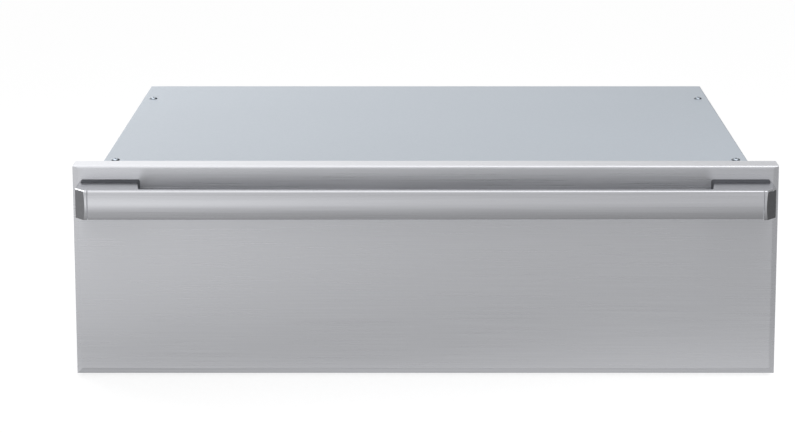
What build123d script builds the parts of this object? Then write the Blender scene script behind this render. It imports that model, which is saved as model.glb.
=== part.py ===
from build123d import *
from math import copysign, cos, radians
import os

# A built-in warming drawer: a shallow heated case that is set into a kitchen cabinet, with a
# full-width steel front, a bar handle and a deep pan on telescopic ball-bearing slides.
# Millimetres. X runs along the front, Y from the front to the rear, Z up. The origin is the
# bottom centre of the closed drawer, handle included. "Right" is towards +X.

# --- Case -----------------------------------------------------------------------------
BODY_W = 711.0  # width over the case, cover included
BODY_H = 224.5  # height of the case over its runners
BODY_D = 566.0  # from the face frame's front to the rear edge
CASE_T = 1.0  # sheet of the outer case
CASE_BEND = 1.6  # bevel that stands for the side panels' upper bend
RUNNER_H = 4.0  # pressed runners under the base sheet
RUNNER_W = 40.0  # one runner, front to rear, slopes included
RUNNER_SLOPE = 6.0  # each sloping side of a runner
RUNNER_IN = 46.0  # from the base sheet's ends to its runners
COVER_LIP = 12.0  # turned-down edge of the top cover
COVER_R = 2.0  # outer bend radius of the top cover
SIDE_TOP_FLANGE = 24.0  # inward flange that the top cover is screwed to
SIDE_FOOT_FLANGE = 14.0  # inward flange on the base sheet
SWAGE_DEPTH = 3.0  # stiffening step along each side panel
SWAGE_LOW = 55.0  # from the side panel's foot to the swage
SWAGE_HIGH = 47.5  # from the swage to the side panel's top
REAR_IN = 14.0  # the rear panel sits this far in from the rear edge
REAR_FLANGE = 12.0  # rear panel's flange round its edge
BAY_GAP = 3.6  # between the tallest part on the power board and the rear panel
LOUVRE_W = 120.0
LOUVRE_H = 9.0
LOUVRE_DEPTH = 4.0
LOUVRE_T = 0.8
LOUVRE_NOSE = 1.5  # upright edge of a louvre's hood
LOUVRE_PITCH = 18.0
LOUVRE_ROWS = 5
LOUVRE_X = (-80.0, 80.0)  # middle of each column
LOUVRE_FOOT = 70.0  # lowest louvre over the base sheet

# --- Face frame and its seal ----------------------------------------------------------
FRAME_T = 1.2
FRAME_SIDE = 14.5  # flange beyond the case, each side, that bears on the cabinet
FRAME_TOP = 4.5  # flange above the case
FRAME_RETURN = 14.0  # rearward return round the opening, inside the liner
FRAME_GAP = 4.0  # between the closed front and the face frame
CABINET_HOLE_R = 2.4
CABINET_HOLE_IN = 7.0  # from the flange's outer edge to the screw holes
CABINET_HOLE_LOW = 60.0  # height of the lower pair
CABINET_HOLE_RISE = 125.0  # between the lower and the upper pair
SEAL_W = 12.0
SEAL_OUT = 5.0  # between the frame's opening and the seal
SEAL_GAP = 0.3  # between the seal and the closed front
SEAL_BEVEL = 1.5

# --- Liner and insulation -------------------------------------------------------------
LINER_T = 0.8
LINER_R = 6.0  # inner radius of the liner's upper corners
SIDE_INSULATION = 20.7  # from the liner's wall to the side panel's inner face at the foot
TOP_INSULATION = 16.7
BASE_INSULATION = 17.0
REAR_INSULATION = 18.0
LINER_FLOOR_LIP = 10.0  # turned-down edges of the liner's floor
LINER_FLOOR_OUT = 12.2  # floor and rear wall beyond the liner's shell
WOOL_GAP = 0.2  # round each insulation board
SHIELD_T = 0.8

# --- Heating --------------------------------------------------------------------------
TUBE_FLAT = 6.5  # heating element, across its flats
TUBE_SIDES = 6
TUBE_R = 30.0  # bend radius of its centreline
TUBE_LIFT = 8.2  # centreline over the liner's floor
TUBE_SIDE_IN = 62.0  # outer runs in from the cavity's walls
TUBE_LEG_X = 40.0  # the two legs through the rear wall
TUBE_FRONT_IN = 50.0  # front runs behind the face frame's rear
TUBE_REAR_IN = 57.0  # rear runs in front of the liner's rear wall
TUBE_TAIL = 12.0  # leg past the heat shield
LEG_WINDOW = 9.0  # square window round a leg
BRACKET_W = 22.0
BRACKET_T = 1.5
BRACKET_FOOT = 12.0
BRACKET_GAP = 0.3  # under and beside the tube
BRACKET_PITCH = 130.0
DIFFUSER_LIFT = 17.2  # underside over the liner's floor
DIFFUSER_T = 0.8
DIFFUSER_SIDE_IN = 32.0  # in from the cavity's walls
DIFFUSER_FRONT_IN = 25.0  # behind the face frame's rear
DIFFUSER_REAR_IN = 47.0  # in front of the liner's rear wall
DIFFUSER_SLOT = (70.0, 7.0)  # one slot along X and Y
DIFFUSER_SLOT_PITCH = (106.0, 62.0)
DIFFUSER_MARGIN = 30.0  # plain edge round the slots
PROBE_R = 2.5
PROBE_L = 36.0
PROBE_FLANGE_R = 6.0
PROBE_FLANGE_T = 1.2
PROBE_X = 200.0
PROBE_DROP = 13.0  # below the liner's ceiling
CUTOUT_R = 9.0
CUTOUT_H = 8.0
CUTOUT_X = 170.0
CUTOUT_RISE = 100.0  # over the liner's floor
CUTOUT_TAG = (6.3, 0.8, 11.0)  # one blade terminal
CUTOUT_WINDOW = 24.0
DEVICE_WINDOW = 14.0  # window in the rear insulation round the probe's stem

# --- Electrics in the rear compartment ------------------------------------------------
GLAND_X = -250.0
GLAND_RISE = 55.0  # over the base sheet
GLAND_BORE_R = 4.5
GLAND_BODY_R = 9.0
GLAND_RIM_R = 13.0
GLAND_RIM_T = 6.0
GLAND_NUT_R = 13.0  # across its corners
GLAND_NUT_T = 4.5
GLAND_HOLE_GAP = 0.15
GLAND_FACE_GAP = 0.05
BLOCK_SIZE = (52.0, 17.0, 24.0)  # terminal block along X, Y and Z
BLOCK_X = -190.0
BLOCK_RISE = 80.0
BLOCK_WAYS = 3
BLOCK_WALL = 2.0
BLOCK_SLOT_DEPTH = 9.0
BLOCK_SCREW_R = 3.6
BLOCK_SCREW_H = 3.0
BOARD_SIZE = (150.0, 1.6, 84.0)  # power board along X, Y and Z
BOARD_X = 180.0
BOARD_RISE = 60.0
SPACER_L = 6.0
SPACER_R = 3.5
SPACER_IN = 6.0  # from the board's corners
RELAY_SIZE = (28.0, 15.0, 12.5)
RELAY_AT = (14.0, 56.0)  # from the board's lower left corner, as the next two
TRANSFORMER_SIZE = (42.0, 17.0, 34.0)
TRANSFORMER_AT = (92.0, 34.0)
CAPACITOR_R = 5.0
CAPACITOR_L = 14.0
CAPACITOR_AT = (62.0, 20.0)

# --- Telescopic slides, in the section's own u (in from the liner's wall) and v (up) --
SLIDE_FRONT_IN = 14.8  # slide's front end behind the face frame's rear
SLIDE_REAR_IN = 7.2  # its rear end in front of the liner's rear wall
SLIDE_RISE = 95.2  # middle of the slides over the liner's floor
SLIDE_U = 12.7  # thickness of the whole slide
OUTER_T = 1.2
OUTER_V = 22.5  # half height of the outer member
OUTER_U = 9.5
MIDDLE_T = 1.1
MIDDLE_U = 2.0  # face of its web
INNER_T = 1.2
INNER_FLANGE = 2.0  # inner member's flanges past the middle of the small balls
MEMBER_BEVEL = 1.4  # bevel that stands for a member's web bends
BIG_BALL_R = 2.0
SMALL_BALL_R = 1.7
BALL_GAP = 0.1  # between a ball and each race
GROOVE = 0.2  # depth of a pressed race
BALL_LIP = 0.8  # a member's lip past the middle of its balls
SMALL_BALL_U = 8.2
MEMBER_TRIM = 8.0  # the moving members end this far short of the outer one
CAGE_T = 0.5
CAGE_WEB_GAP = 0.15  # between a cage and the web beside it
CAGE_L = 210.0
CAGE_TIP_GAP = 0.2  # between a cage's tabs and the lip beyond them
BALLS_PER_ROW = 5
BALL_NOTCH_GAP = 0.15  # round a ball in its cage
STOP_T = 1.6
STOP_V = 7.0

# --- Drawer frame and pan -------------------------------------------------------------
RAIL_T = 1.2
RAIL_FOOT_RISE = 37.2  # underside of the rails over the liner's floor
RAIL_TOP_DROP = 29.0  # top of the rails below the liner's ceiling
RAIL_TOP_FLANGE = 10.0
RAIL_FOOT_FLANGE = 8.0
RAIL_REAR_IN = 22.2  # rails end in front of the liner's rear wall
RAIL_TAB = 20.0  # front tab, screwed to the front's back plate
RAIL_WINDOW = (72.0, 16.0)
RAIL_WINDOW_PITCH = 118.0
RAIL_WINDOW_END = 20.0  # plain length at each end of a rail
RAIL_WINDOW_DROP = 18.0  # middle of the upper windows below the rail's top
RAIL_SCREW_LOW = 24.0  # over the rail's foot
RAIL_SCREW_DROP = 16.0  # below the rail's top
RAIL_SCREW_IN = 9.0  # from the rail's inner face
RAIL_SCREW_R = 2.5
RAIL_SCREW_TIP = 3.0  # through the back plate
RAIL_SLOT = (6.4, 9.0)
SCREW_HOLE_GAP = 0.2
BRACE_H = 46.0
BRACE_FOOT = 12.0
BRACE_IN = 6.8  # brace's web in front of the rails' rear ends
PAN_T = 0.8
PAN_RIM = 8.0
PAN_RIM_SEAT = 2.3  # rim's edge short of the rail's web
PAN_FRONT_GAP = 3.0  # between the front's back plate and the rim
PAN_REAR_GAP = 2.0  # between the rim and the rails' rear ends
PAN_FLOOR_GAP = 5.2  # over the diffuser
PAN_CORNER_R = 22.0
PAN_FLOOR_R = 9.0
BEVEL_FOR_ROUND = 2 - 2**0.5  # a bevel this share of a radius touches the round's middle

# --- Drawer front ---------------------------------------------------------------------
FRONT_OVER_SIDE = 24.0  # front beyond the case, each side
FRONT_OVER_TOP = 8.5  # front above the case
FRONT_LIFT = 3.0  # bottom edge of the front over the runners
FRONT_T = 30.0
SKIN_T = 1.2
EDGE_TOP_R = 3.0
BORDER_W = 5.8  # slanting border along the foot and both sides
BORDER_DEPTH = 1.1
HEM_W = 9.0
BACKPLATE_T = 1.0
BACKPLATE_IN = 1.0
FRONT_WOOL_GAP = 3.2  # clear of the skin, where the handle's screw heads are
BUMPER_R = 5.0
BUMPER_GAP = 0.3
BUMPER_IN = 21.5  # from the front's side edge
BUMPER_END = 18.0  # from its top and bottom edges

# --- Handle ---------------------------------------------------------------------------
HANDLE_OUT = 50.0  # from the front's face to the grip's face
HANDLE_H = 31.5
HANDLE_DROP = 17.9  # below the top of the front
HANDLE_IN = 7.0  # end caps in from the front's side edges
BAR_T = 10.0
BAR_CROWN = 1.8
BAR_TOP_R = 2.4
BAR_FOOT_R = 1.4
POST_W = 47.6
GAP_R = 4.0  # rounded inner corners of the finger gap
POST_FLARE = 4.5  # each post widens this much towards the bar
CAP_W = 14.9
CAP_FLAT = 3.4
CAP_SEAM_W = 1.1  # shadow line between the cap and the bar
CAP_SEAM_DEPTH = 6.0
CAP_TOUCH = 0.1  # edges further out than this are the cap's rounded ones
CAP_BEVEL = 15.0  # depth of the slanting outer corner
FOOT_T = 1.0  # dark seat under each post
FOOT_RIM = 3.0
FOOT_END_IN = 2.0  # outer end in from the end cap's side
FOOT_BEVEL = 1.5
HANDLE_SCREW_R = 2.5
HANDLE_SCREW_L = 14.0  # from the skin's inside into the post
HANDLE_SCREW_TIP = 1.0  # clear of the blind hole's end
HANDLE_SCREW_PITCH = 26.0
SCREW_FROM_GAP = 8.0  # the pair sits this much nearer the end cap than the gap
SCREW_HEAD = (4.6, 2.4)  # hexagon head, corner radius and height

# --- Hidden controls and moisture vent, inside the top of the front -------------------
CONTROL_W = 260.0
CONTROL_D = 40.0
CONTROL_TOP_GAP = 2.3  # below the frame's opening
CONTROL_PAN_GAP = 2.2  # over the pan's rim
CONTROL_WALL = 2.0
CONTROL_NOSE = 6.0  # slanted corner towards the pan
GLASS_T = 1.5
GLASS_IN = 7.0
GLASS_REAR_IN = 2.0  # in front of the slanted corner
GLASS_GAP = 0.15
GLASS_CORNER = 1.0
CONTROL_BOARD_T = 1.6
CONTROL_BOARD_GAP = 0.3
VENT_IN = 15.8  # vent's frame in from the face frame's opening
VENT_CONTROL_GAP = 15.0
VENT_H = 20.0
VENT_DEPTH = 4.6
VENT_WALL = 1.6
VENT_LIP = 3.0
VENT_END = 25.0  # from the ends of the vent's frame to its slots
VENT_SLOT_W = 7.0
VENT_SLOT_H = 8.0
VENT_PITCH = 18.0
VENT_TRAVEL = 9.0
SLIDER_T = 1.4
SLIDER_GAP = 0.3
KNOB_W = 12.0
KNOB_OUT = 7.0
KNOB_IN = 2.0  # from the slider's end
KNOB_BEVEL = 1.0

# --- Screws on show -------------------------------------------------------------------
COVER_SCREW_IN = 13.3  # from the case's side to the cover screws
COVER_SCREW_FRONT = 45.6  # front pair behind the face frame's front
COVER_SCREW_REAR = 101.6  # rear pair in front of the rear edge
COVER_SCREW_HEAD_R = 4.75
COVER_SCREW_HEAD_H = 2.2
COVER_SCREW_SLANT = 1.0
COVER_SCREW_HEAD_SIDES = 16
COVER_SCREW_R = 2.1
COVER_SCREW_L = 8.0
CLIP_WINDOW = 6.5  # square clip-nut window under a screw
REAR_SCREW_IN = 22.0

# --- Places that follow from the sizes ------------------------------------------------
Y_GRIP = -(HANDLE_OUT + FRONT_T + FRAME_GAP + BODY_D) / 2
Y_FACE = Y_GRIP + HANDLE_OUT
Y_BACK = Y_FACE + FRONT_T
Y_FRAME = Y_BACK + FRAME_GAP
Y_CASE = Y_FRAME + FRAME_T
Y_REAR = Y_FRAME + BODY_D
Y_PANEL = Y_REAR - REAR_IN - CASE_T  # inner face of the rear panel
# front of the rear compartment, which holds the power board on its spacers
Y_BAY = Y_PANEL - BAY_GAP - TRANSFORMER_SIZE[1] - BOARD_SIZE[1] - SPACER_L
Y_SHIELD = Y_BAY - SHIELD_T
Y_LINER_REAR = Y_SHIELD - REAR_INSULATION - LINER_T

X_CASE = BODY_W / 2 - CASE_T  # outer face of a side panel, inside the cover's lip
X_PANEL = X_CASE - CASE_T - SWAGE_DEPTH  # inner face of the swage
X_CAVITY = X_CASE - CASE_T - SIDE_INSULATION - LINER_T
X_OPENING = X_CAVITY - FRAME_T
X_RAIL = X_CAVITY - SLIDE_U  # outer face of a drawer rail
X_TUBE = X_CAVITY - TUBE_SIDE_IN
X_FRONT = BODY_W / 2 + FRONT_OVER_SIDE
X_HANDLE = X_FRONT - HANDLE_IN
X_BAR = X_HANDLE - CAP_W
X_GAP = X_BAR - POST_W
X_VENT = (VENT_IN - X_OPENING, -CONTROL_W / 2 - VENT_CONTROL_GAP)

Z_BASE = RUNNER_H + CASE_T  # top of the base sheet
Z_FLOOR = Z_BASE + BASE_INSULATION + LINER_T
Z_CEILING = BODY_H - 2 * CASE_T - TOP_INSULATION - LINER_T
Z_OPENING = (Z_FLOOR + FRAME_T, Z_CEILING - FRAME_T)
Z_DIFFUSER = Z_FLOOR + DIFFUSER_LIFT
Z_SLIDE = Z_FLOOR + SLIDE_RISE
Z_RAIL = (Z_FLOOR + RAIL_FOOT_RISE, Z_CEILING - RAIL_TOP_DROP)
Z_PAN = Z_DIFFUSER + DIFFUSER_T + PAN_FLOOR_GAP
Z_FRONT = (FRONT_LIFT, BODY_H + FRONT_OVER_TOP)
Z_HANDLE = (Z_FRONT[1] - HANDLE_DROP - HANDLE_H, Z_FRONT[1] - HANDLE_DROP)
Z_CONTROL = (Z_RAIL[1] + PAN_T + CONTROL_PAN_GAP, Z_OPENING[1] - CONTROL_TOP_GAP)
Z_VENT = (Z_CONTROL[0] + Z_CONTROL[1]) / 2

Y_SLIDE = (Y_CASE + SLIDE_FRONT_IN, Y_LINER_REAR - SLIDE_REAR_IN)
Y_RAIL_END = Y_LINER_REAR - RAIL_REAR_IN
BIG_BALL_U = OUTER_U - OUTER_T - BIG_BALL_R - BALL_GAP
BIG_BALL_V = OUTER_V - OUTER_T - BIG_BALL_R - BALL_GAP
MIDDLE_V = BIG_BALL_V - BIG_BALL_R - BALL_GAP + GROOVE
SMALL_BALL_V = MIDDLE_V - MIDDLE_T - SMALL_BALL_R - BALL_GAP
INNER_V = SMALL_BALL_V - SMALL_BALL_R - BALL_GAP + GROOVE
INNER_TIP_U = SMALL_BALL_U - INNER_FLANGE
TUBE_Z = Z_FLOOR + TUBE_LIFT
TUBE_CORNER = TUBE_FLAT / 2 / cos(radians(180 / TUBE_SIDES))  # radius over its corners


# --- Ways of making a piece -----------------------------------------------------------
def block(x, y, z):
    """A box between its low and high limits along X, Y and Z."""
    limits = (x, y, z)
    size = [high - low for low, high in limits]
    middle = [(high + low) / 2 for low, high in limits]
    return Pos(*middle) * Box(*size)


def ring(x, y, z, wall):
    """A rectangular ring about X = 0 that reaches out to x, with the same wall all round."""
    outer = block((-x, x), y, z)
    inner = block((wall - x, x - wall), y, (z[0] + wall, z[1] - wall))
    return outer - inner


def along_x(section, x):
    """Runs a section drawn in Y and Z between two X limits."""
    return extrude(Plane.YZ.offset(x[0]) * section, x[1] - x[0])


def along_y(section, y):
    """Runs a section drawn in X and Z between two Y limits."""
    return extrude(Plane.XZ.offset(-y[1]) * section, y[1] - y[0])


def along_z(section, z):
    """Runs an outline drawn in X and Y between two Z limits."""
    return extrude(Plane.XY.offset(z[0]) * section, z[1] - z[0])


def folded(points, thickness, radii=None):
    """The section of a bent sheet: a line through the points, thickened to its left.

    radii holds the drawn line's bend radius at each inner point, and 0 keeps a corner sharp.
    """
    line = [Vector(*point) for point in points]
    lefts = [(end - start).normalized().rotate(Axis.Z, 90) for start, end in zip(line, line[1:])]
    radii = radii or [0.0] * (len(line) - 2)
    far_side, far_radii = [line[0] + lefts[0] * thickness], []
    for corner, radius, before, after in zip(line[1:-1], radii, lefts, lefts[1:]):
        far_side.append(corner + (before + after) * (thickness / (1 + before.dot(after))))
        turn = 1 if before.cross(after).Z > 0 else -1
        far_radii.append(radius - turn * thickness if radius else 0.0)
    far_side.append(line[-1] + lefts[-1] * thickness)
    near = FilletPolyline(*line, radius=radii)
    far = FilletPolyline(*far_side, radius=far_radii)
    return make_face(near + far + Line(line[0], far_side[0]) + Line(line[-1], far_side[-1]))


def spread(low, high, pitch, length):
    """Middles of as many items of one length as fit between two limits at an even pitch."""
    count = int((high - low - length) // pitch) + 1
    middle = (low + high) / 2
    return [middle + (number - (count - 1) / 2) * pitch for number in range(count)]


def on_left(part):
    """The left-hand twin of a piece on the right."""
    return mirror(part, about=Plane.YZ)


def on_both(part):
    """A piece and its twin on the other side."""
    return part + on_left(part)


def rod(radius, start, end, direction):
    """A round rod along "x", "y" or "z" through start, up to the coordinate end."""
    axis = "xyz".index(direction)
    normal = [(1, 0, 0), (0, 1, 0), (0, 0, 1)][axis]
    return extrude(Plane(origin=start, z_dir=normal) * Circle(radius), end - start[axis])


def bar(sides, radius, start, end, direction="y"):
    """A bar with flat sides, radius to its corners, from start to the coordinate end."""
    axis = "xyz".index(direction)
    normal = [(1, 0, 0), (0, 1, 0), (0, 0, 1)][axis]
    return extrude(Plane(origin=start, z_dir=normal) * RegularPolygon(radius, sides), end - start[axis])


def hexagon(radius, start, end):
    """A six-sided bar along Y."""
    return bar(6, radius, start, end)


def shank(radius, start, end, direction="y"):
    """A screw's shank, or with a wider radius its hole, kept light with eight flat sides."""
    return bar(8, radius, start, end, direction)


# --- Case -----------------------------------------------------------------------------
def base_pan():
    """Base sheet with two pressed runners across it and a lip at the rear."""
    line = [(Y_CASE, RUNNER_H)]
    for start in (Y_CASE + RUNNER_IN, Y_REAR - RUNNER_IN - RUNNER_W):
        line += [
            (start, RUNNER_H),
            (start + RUNNER_SLOPE, 0),
            (start + RUNNER_W - RUNNER_SLOPE, 0),
            (start + RUNNER_W, RUNNER_H),
        ]
    line += [(Y_REAR, RUNNER_H), (Y_REAR, RUNNER_H + SIDE_FOOT_FLANGE)]
    sheet = along_x(folded(line, CASE_T), (-X_CASE, X_CASE))
    # the side panels stand on the sheet, so the rear lip ends between them
    lip_end = block(
        (X_CASE - CASE_T, X_CASE), (Y_REAR - CASE_T, Y_REAR), (Z_BASE, BODY_H)
    )
    return sheet - on_both(lip_end)


def side_panel():
    """Right side panel: one bent sheet with a swage, a foot flange and a top flange."""
    top = BODY_H - CASE_T
    low, high = Z_BASE + SWAGE_LOW, top - SWAGE_HIGH
    swage_x = X_CASE - SWAGE_DEPTH
    line = [
        (X_CASE - SIDE_FOOT_FLANGE, Z_BASE),
        (X_CASE, Z_BASE),
        (X_CASE, low),
        (swage_x, low + SWAGE_DEPTH),
        (swage_x, high - SWAGE_DEPTH),
        (X_CASE, high),
        (X_CASE, top - CASE_BEND),
        (X_CASE - CASE_BEND, top),
        (X_CASE - SIDE_TOP_FLANGE, top),
    ]
    panel = along_y(folded(line, CASE_T), (Y_CASE, Y_REAR - COVER_R))
    for x, y in cover_screw_places():
        if x > 0:
            half = CLIP_WINDOW / 2
            panel -= block((x - half, x + half), (y - half, y + half), (top - 2 * CASE_T, top))
    return panel


def cover_screw_places():
    """The four cover screws, as photographed: two near the front and two nearer the rear."""
    x = BODY_W / 2 - COVER_SCREW_IN
    rows = (Y_FRAME + COVER_SCREW_FRONT, Y_REAR - COVER_SCREW_REAR)
    return [(side * x, y) for side in (-1, 1) for y in rows]


def top_cover():
    """A shallow lid with bent edges on three sides, open at the front."""
    half = BODY_W / 2
    low = BODY_H - COVER_LIP
    outer = block((-half, half), (Y_CASE, Y_REAR), (low, BODY_H))
    outer = fillet(top_edges(outer), COVER_R)
    inner = block(
        (CASE_T - half, half - CASE_T), (Y_CASE, Y_REAR - CASE_T), (low, BODY_H - CASE_T)
    )
    inner = fillet(top_edges(inner), COVER_R - CASE_T)
    cover = outer - inner
    for x, y in cover_screw_places():
        cover -= shank(COVER_SCREW_R + SCREW_HOLE_GAP, (x, y, BODY_H - CASE_T), BODY_H, "z")
    return cover


def top_edges(lid):
    """The left, right and rear edges of a lid's top face."""
    edges = lid.faces().sort_by(Axis.Z)[-1].edges()
    front = edges.sort_by(Axis.Y)[0]
    return [edge for edge in edges if edge != front]


def top_cover_screws():
    """Four round-headed screws through the cover into clip nuts in the side flanges."""
    seat = RegularPolygon(COVER_SCREW_HEAD_R, COVER_SCREW_HEAD_SIDES)
    crown = RegularPolygon(COVER_SCREW_HEAD_R - COVER_SCREW_SLANT, COVER_SCREW_HEAD_SIDES)
    screw = loft([seat, Pos(0, 0, COVER_SCREW_HEAD_H) * crown], ruled=True)
    screw += shank(COVER_SCREW_R, (0, 0, -COVER_SCREW_L), 0, "z")
    return Compound(children=[Pos(x, y, BODY_H) * screw for x, y in cover_screw_places()])


def louvre():
    """One pressed louvre: a hood that stands out to the rear and opens downwards."""
    wall = LOUVRE_T
    half = LOUVRE_W / 2
    outer = make_face(
        Polyline((0, 0), (LOUVRE_DEPTH, 0), (LOUVRE_DEPTH, LOUVRE_NOSE), (0, LOUVRE_H), close=True)
    )
    inner = make_face(
        Polyline(
            (-CASE_T, -1),
            (LOUVRE_DEPTH - wall, -1),
            (LOUVRE_DEPTH - wall, LOUVRE_NOSE - wall / 2),
            (-CASE_T, LOUVRE_H - wall),
            close=True,
        )
    )
    hood = along_x(outer, (-half, half))
    return hood - along_x(inner, (wall - half, half - wall))


def rear_panel():
    """Recessed rear panel with a flange all round, louvres and the gland's hole."""
    rear = Y_PANEL + CASE_T
    z = (Z_BASE + CASE_T, BODY_H - 2 * CASE_T)
    panel = block((-X_PANEL, X_PANEL), (Y_PANEL, rear), z)
    panel += ring(X_PANEL, (Y_PANEL, Y_PANEL + REAR_FLANGE), z, CASE_T)
    slit = block(
        (LOUVRE_T - LOUVRE_W / 2, LOUVRE_W / 2 - LOUVRE_T),
        (-CASE_T, 0),
        (0, LOUVRE_H - 2 * LOUVRE_T),
    )
    for x in LOUVRE_X:
        for row in range(LOUVRE_ROWS):
            place = Pos(x, rear, Z_BASE + LOUVRE_FOOT + row * LOUVRE_PITCH)
            panel = panel - place * slit + place * louvre()
    panel -= rod(GLAND_BODY_R + GLAND_HOLE_GAP, (GLAND_X, Y_PANEL, gland_z()), rear, "y")
    for x, z in rear_screw_places():
        panel -= shank(COVER_SCREW_R + SCREW_HOLE_GAP, (x, Y_PANEL, z), rear)
    return panel


def rear_screw_places():
    """The four screws near the rear panel's corners."""
    x = X_PANEL - REAR_SCREW_IN
    rows = (Z_BASE + REAR_SCREW_IN, BODY_H - REAR_SCREW_IN)
    return [(side * x, z) for side in (-1, 1) for z in rows]


def rear_screws():
    """Four hexagon-headed screws in the rear panel."""
    screws = []
    for x, z in rear_screw_places():
        face = Y_PANEL + CASE_T
        screw = hexagon(COVER_SCREW_HEAD_R, (x, face, z), face + COVER_SCREW_HEAD_H)
        screw += shank(COVER_SCREW_R, (x, face - COVER_SCREW_L, z), face)
        screws.append(screw)
    return Compound(children=screws)


# --- Face frame -----------------------------------------------------------------------
def cabinet_hole_places():
    """Four holes in the flange for the screws into the cabinet."""
    x = BODY_W / 2 + FRAME_SIDE - CABINET_HOLE_IN
    rows = (CABINET_HOLE_LOW, CABINET_HOLE_LOW + CABINET_HOLE_RISE)
    return [(side * x, z) for side in (-1, 1) for z in rows]


def round_topped(x, y, z, radius):
    """A box whose two upper edges along Y are rounded, as the liner's corners are."""
    body = block(x, y, z)
    return fillet(body.faces().sort_by(Axis.Z)[-1].edges().filter_by(Axis.Y), radius)


def front_frame():
    """Face frame: a flange that bears on the cabinet, and a return into the liner."""
    wide = BODY_W / 2 + FRAME_SIDE
    top = BODY_H + FRAME_TOP
    depth = (Y_FRAME, Y_FRAME + FRAME_RETURN)
    frame = block((-wide, wide), (Y_FRAME, Y_CASE), (RUNNER_H, top))
    frame += round_topped((-X_CAVITY, X_CAVITY), depth, (Z_FLOOR, Z_CEILING), LINER_R)
    frame -= round_topped((-X_OPENING, X_OPENING), depth, Z_OPENING, LINER_R - FRAME_T)
    for x, z in cabinet_hole_places():
        frame -= rod(CABINET_HOLE_R, (x, Y_FRAME, z), Y_CASE, "y")
    return frame


def frame_gasket():
    """Silicone seal round the opening, just clear of the closed front."""
    inner_x = X_OPENING + SEAL_OUT
    low, high = Z_OPENING[0] - SEAL_OUT, Z_OPENING[1] + SEAL_OUT
    seal = ring(
        inner_x + SEAL_W, (Y_BACK + SEAL_GAP, Y_FRAME), (low - SEAL_W, high + SEAL_W), SEAL_W
    )
    return chamfer(seal.faces().sort_by(Axis.Y)[0].edges(), SEAL_BEVEL)


# --- Liner, insulation and heat shield ------------------------------------------------
def liner_shell():
    """Left wall, ceiling and right wall of the warm cavity, bent from one sheet."""
    line = [(-X_CAVITY, Z_FLOOR), (-X_CAVITY, Z_CEILING), (X_CAVITY, Z_CEILING), (X_CAVITY, Z_FLOOR)]
    return along_y(folded(line, LINER_T, [LINER_R, LINER_R]), (Y_CASE, Y_LINER_REAR))


def liner_floor():
    """Floor of the cavity, with its long edges turned down."""
    wide = X_CAVITY + LINER_FLOOR_OUT
    low = Z_FLOOR - LINER_FLOOR_LIP
    line = [(wide, low), (wide, Z_FLOOR), (-wide, Z_FLOOR), (-wide, low)]
    return along_y(folded(line, LINER_T), (Y_CASE, Y_LINER_REAR + LINER_T))


def square_hole(part, x, z, side, y):
    """Cuts a square window through a sheet that faces the rear."""
    half = side / 2
    return part - block((x - half, x + half), y, (z - half, z + half))


def liner_rear():
    """Rear wall of the cavity, with holes for the element's legs and the probe."""
    wide = X_CAVITY + LINER_FLOOR_OUT
    y = (Y_LINER_REAR, Y_LINER_REAR + LINER_T)
    wall = block((-wide, wide), y, (Z_FLOOR, Z_CEILING + LINER_T))
    for x in (-TUBE_LEG_X, TUBE_LEG_X):
        wall = square_hole(wall, x, TUBE_Z, 2 * (TUBE_CORNER + BRACKET_GAP), y)
    return square_hole(wall, PROBE_X, probe_z(), 2 * (PROBE_R + BRACKET_GAP), y)


def insulation_side():
    """Mineral wool board between the liner and the right side panel."""
    return block(
        (X_CAVITY + LINER_T + WOOL_GAP, X_PANEL - WOOL_GAP),
        (Y_CASE + WOOL_GAP, Y_LINER_REAR - WOOL_GAP),
        (Z_FLOOR + WOOL_GAP, Z_CEILING),
    )


def insulation_top():
    """Mineral wool board between the liner's ceiling and the top cover."""
    wide = X_CASE - SIDE_TOP_FLANGE - WOOL_GAP
    return block(
        (-wide, wide),
        (Y_CASE + WOOL_GAP, Y_LINER_REAR - WOOL_GAP),
        (Z_CEILING + LINER_T, BODY_H - CASE_T - WOOL_GAP),
    )


def insulation_bottom():
    """Mineral wool board between the base sheet and the liner's floor."""
    wide = X_CASE - SIDE_FOOT_FLANGE - WOOL_GAP
    return block(
        (-wide, wide), (Y_CASE + WOOL_GAP, Y_SHIELD - WOOL_GAP), (Z_BASE, Z_FLOOR - LINER_T)
    )


def insulation_rear():
    """Mineral wool board behind the liner, with windows round what passes through it."""
    wide = X_CAVITY
    y = (Y_LINER_REAR + LINER_T, Y_SHIELD)
    board = block((-wide, wide), y, (Z_FLOOR, Z_CEILING))
    for x in (-TUBE_LEG_X, TUBE_LEG_X):
        board = square_hole(board, x, TUBE_Z, LEG_WINDOW, y)
    board = square_hole(board, PROBE_X, probe_z(), DEVICE_WINDOW, y)
    return square_hole(board, CUTOUT_X, cutout_z(), CUTOUT_WINDOW, y)


def rear_heat_shield():
    """Sheet between the rear insulation and the electrics, on the side panels' feet."""
    y = (Y_SHIELD, Y_BAY)
    shield = block((-X_PANEL, X_PANEL), y, (Z_BASE + CASE_T, BODY_H - 2 * CASE_T))
    for x in (-TUBE_LEG_X, TUBE_LEG_X):
        shield = square_hole(shield, x, TUBE_Z, LEG_WINDOW, y)
    return square_hole(shield, CUTOUT_X, cutout_z(), CUTOUT_WINDOW, y)


# --- Heating --------------------------------------------------------------------------
def tube_run():
    """Front and rear of the heating element's outer runs."""
    return Y_CASE + TUBE_FRONT_IN, Y_LINER_REAR - TUBE_REAR_IN


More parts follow.
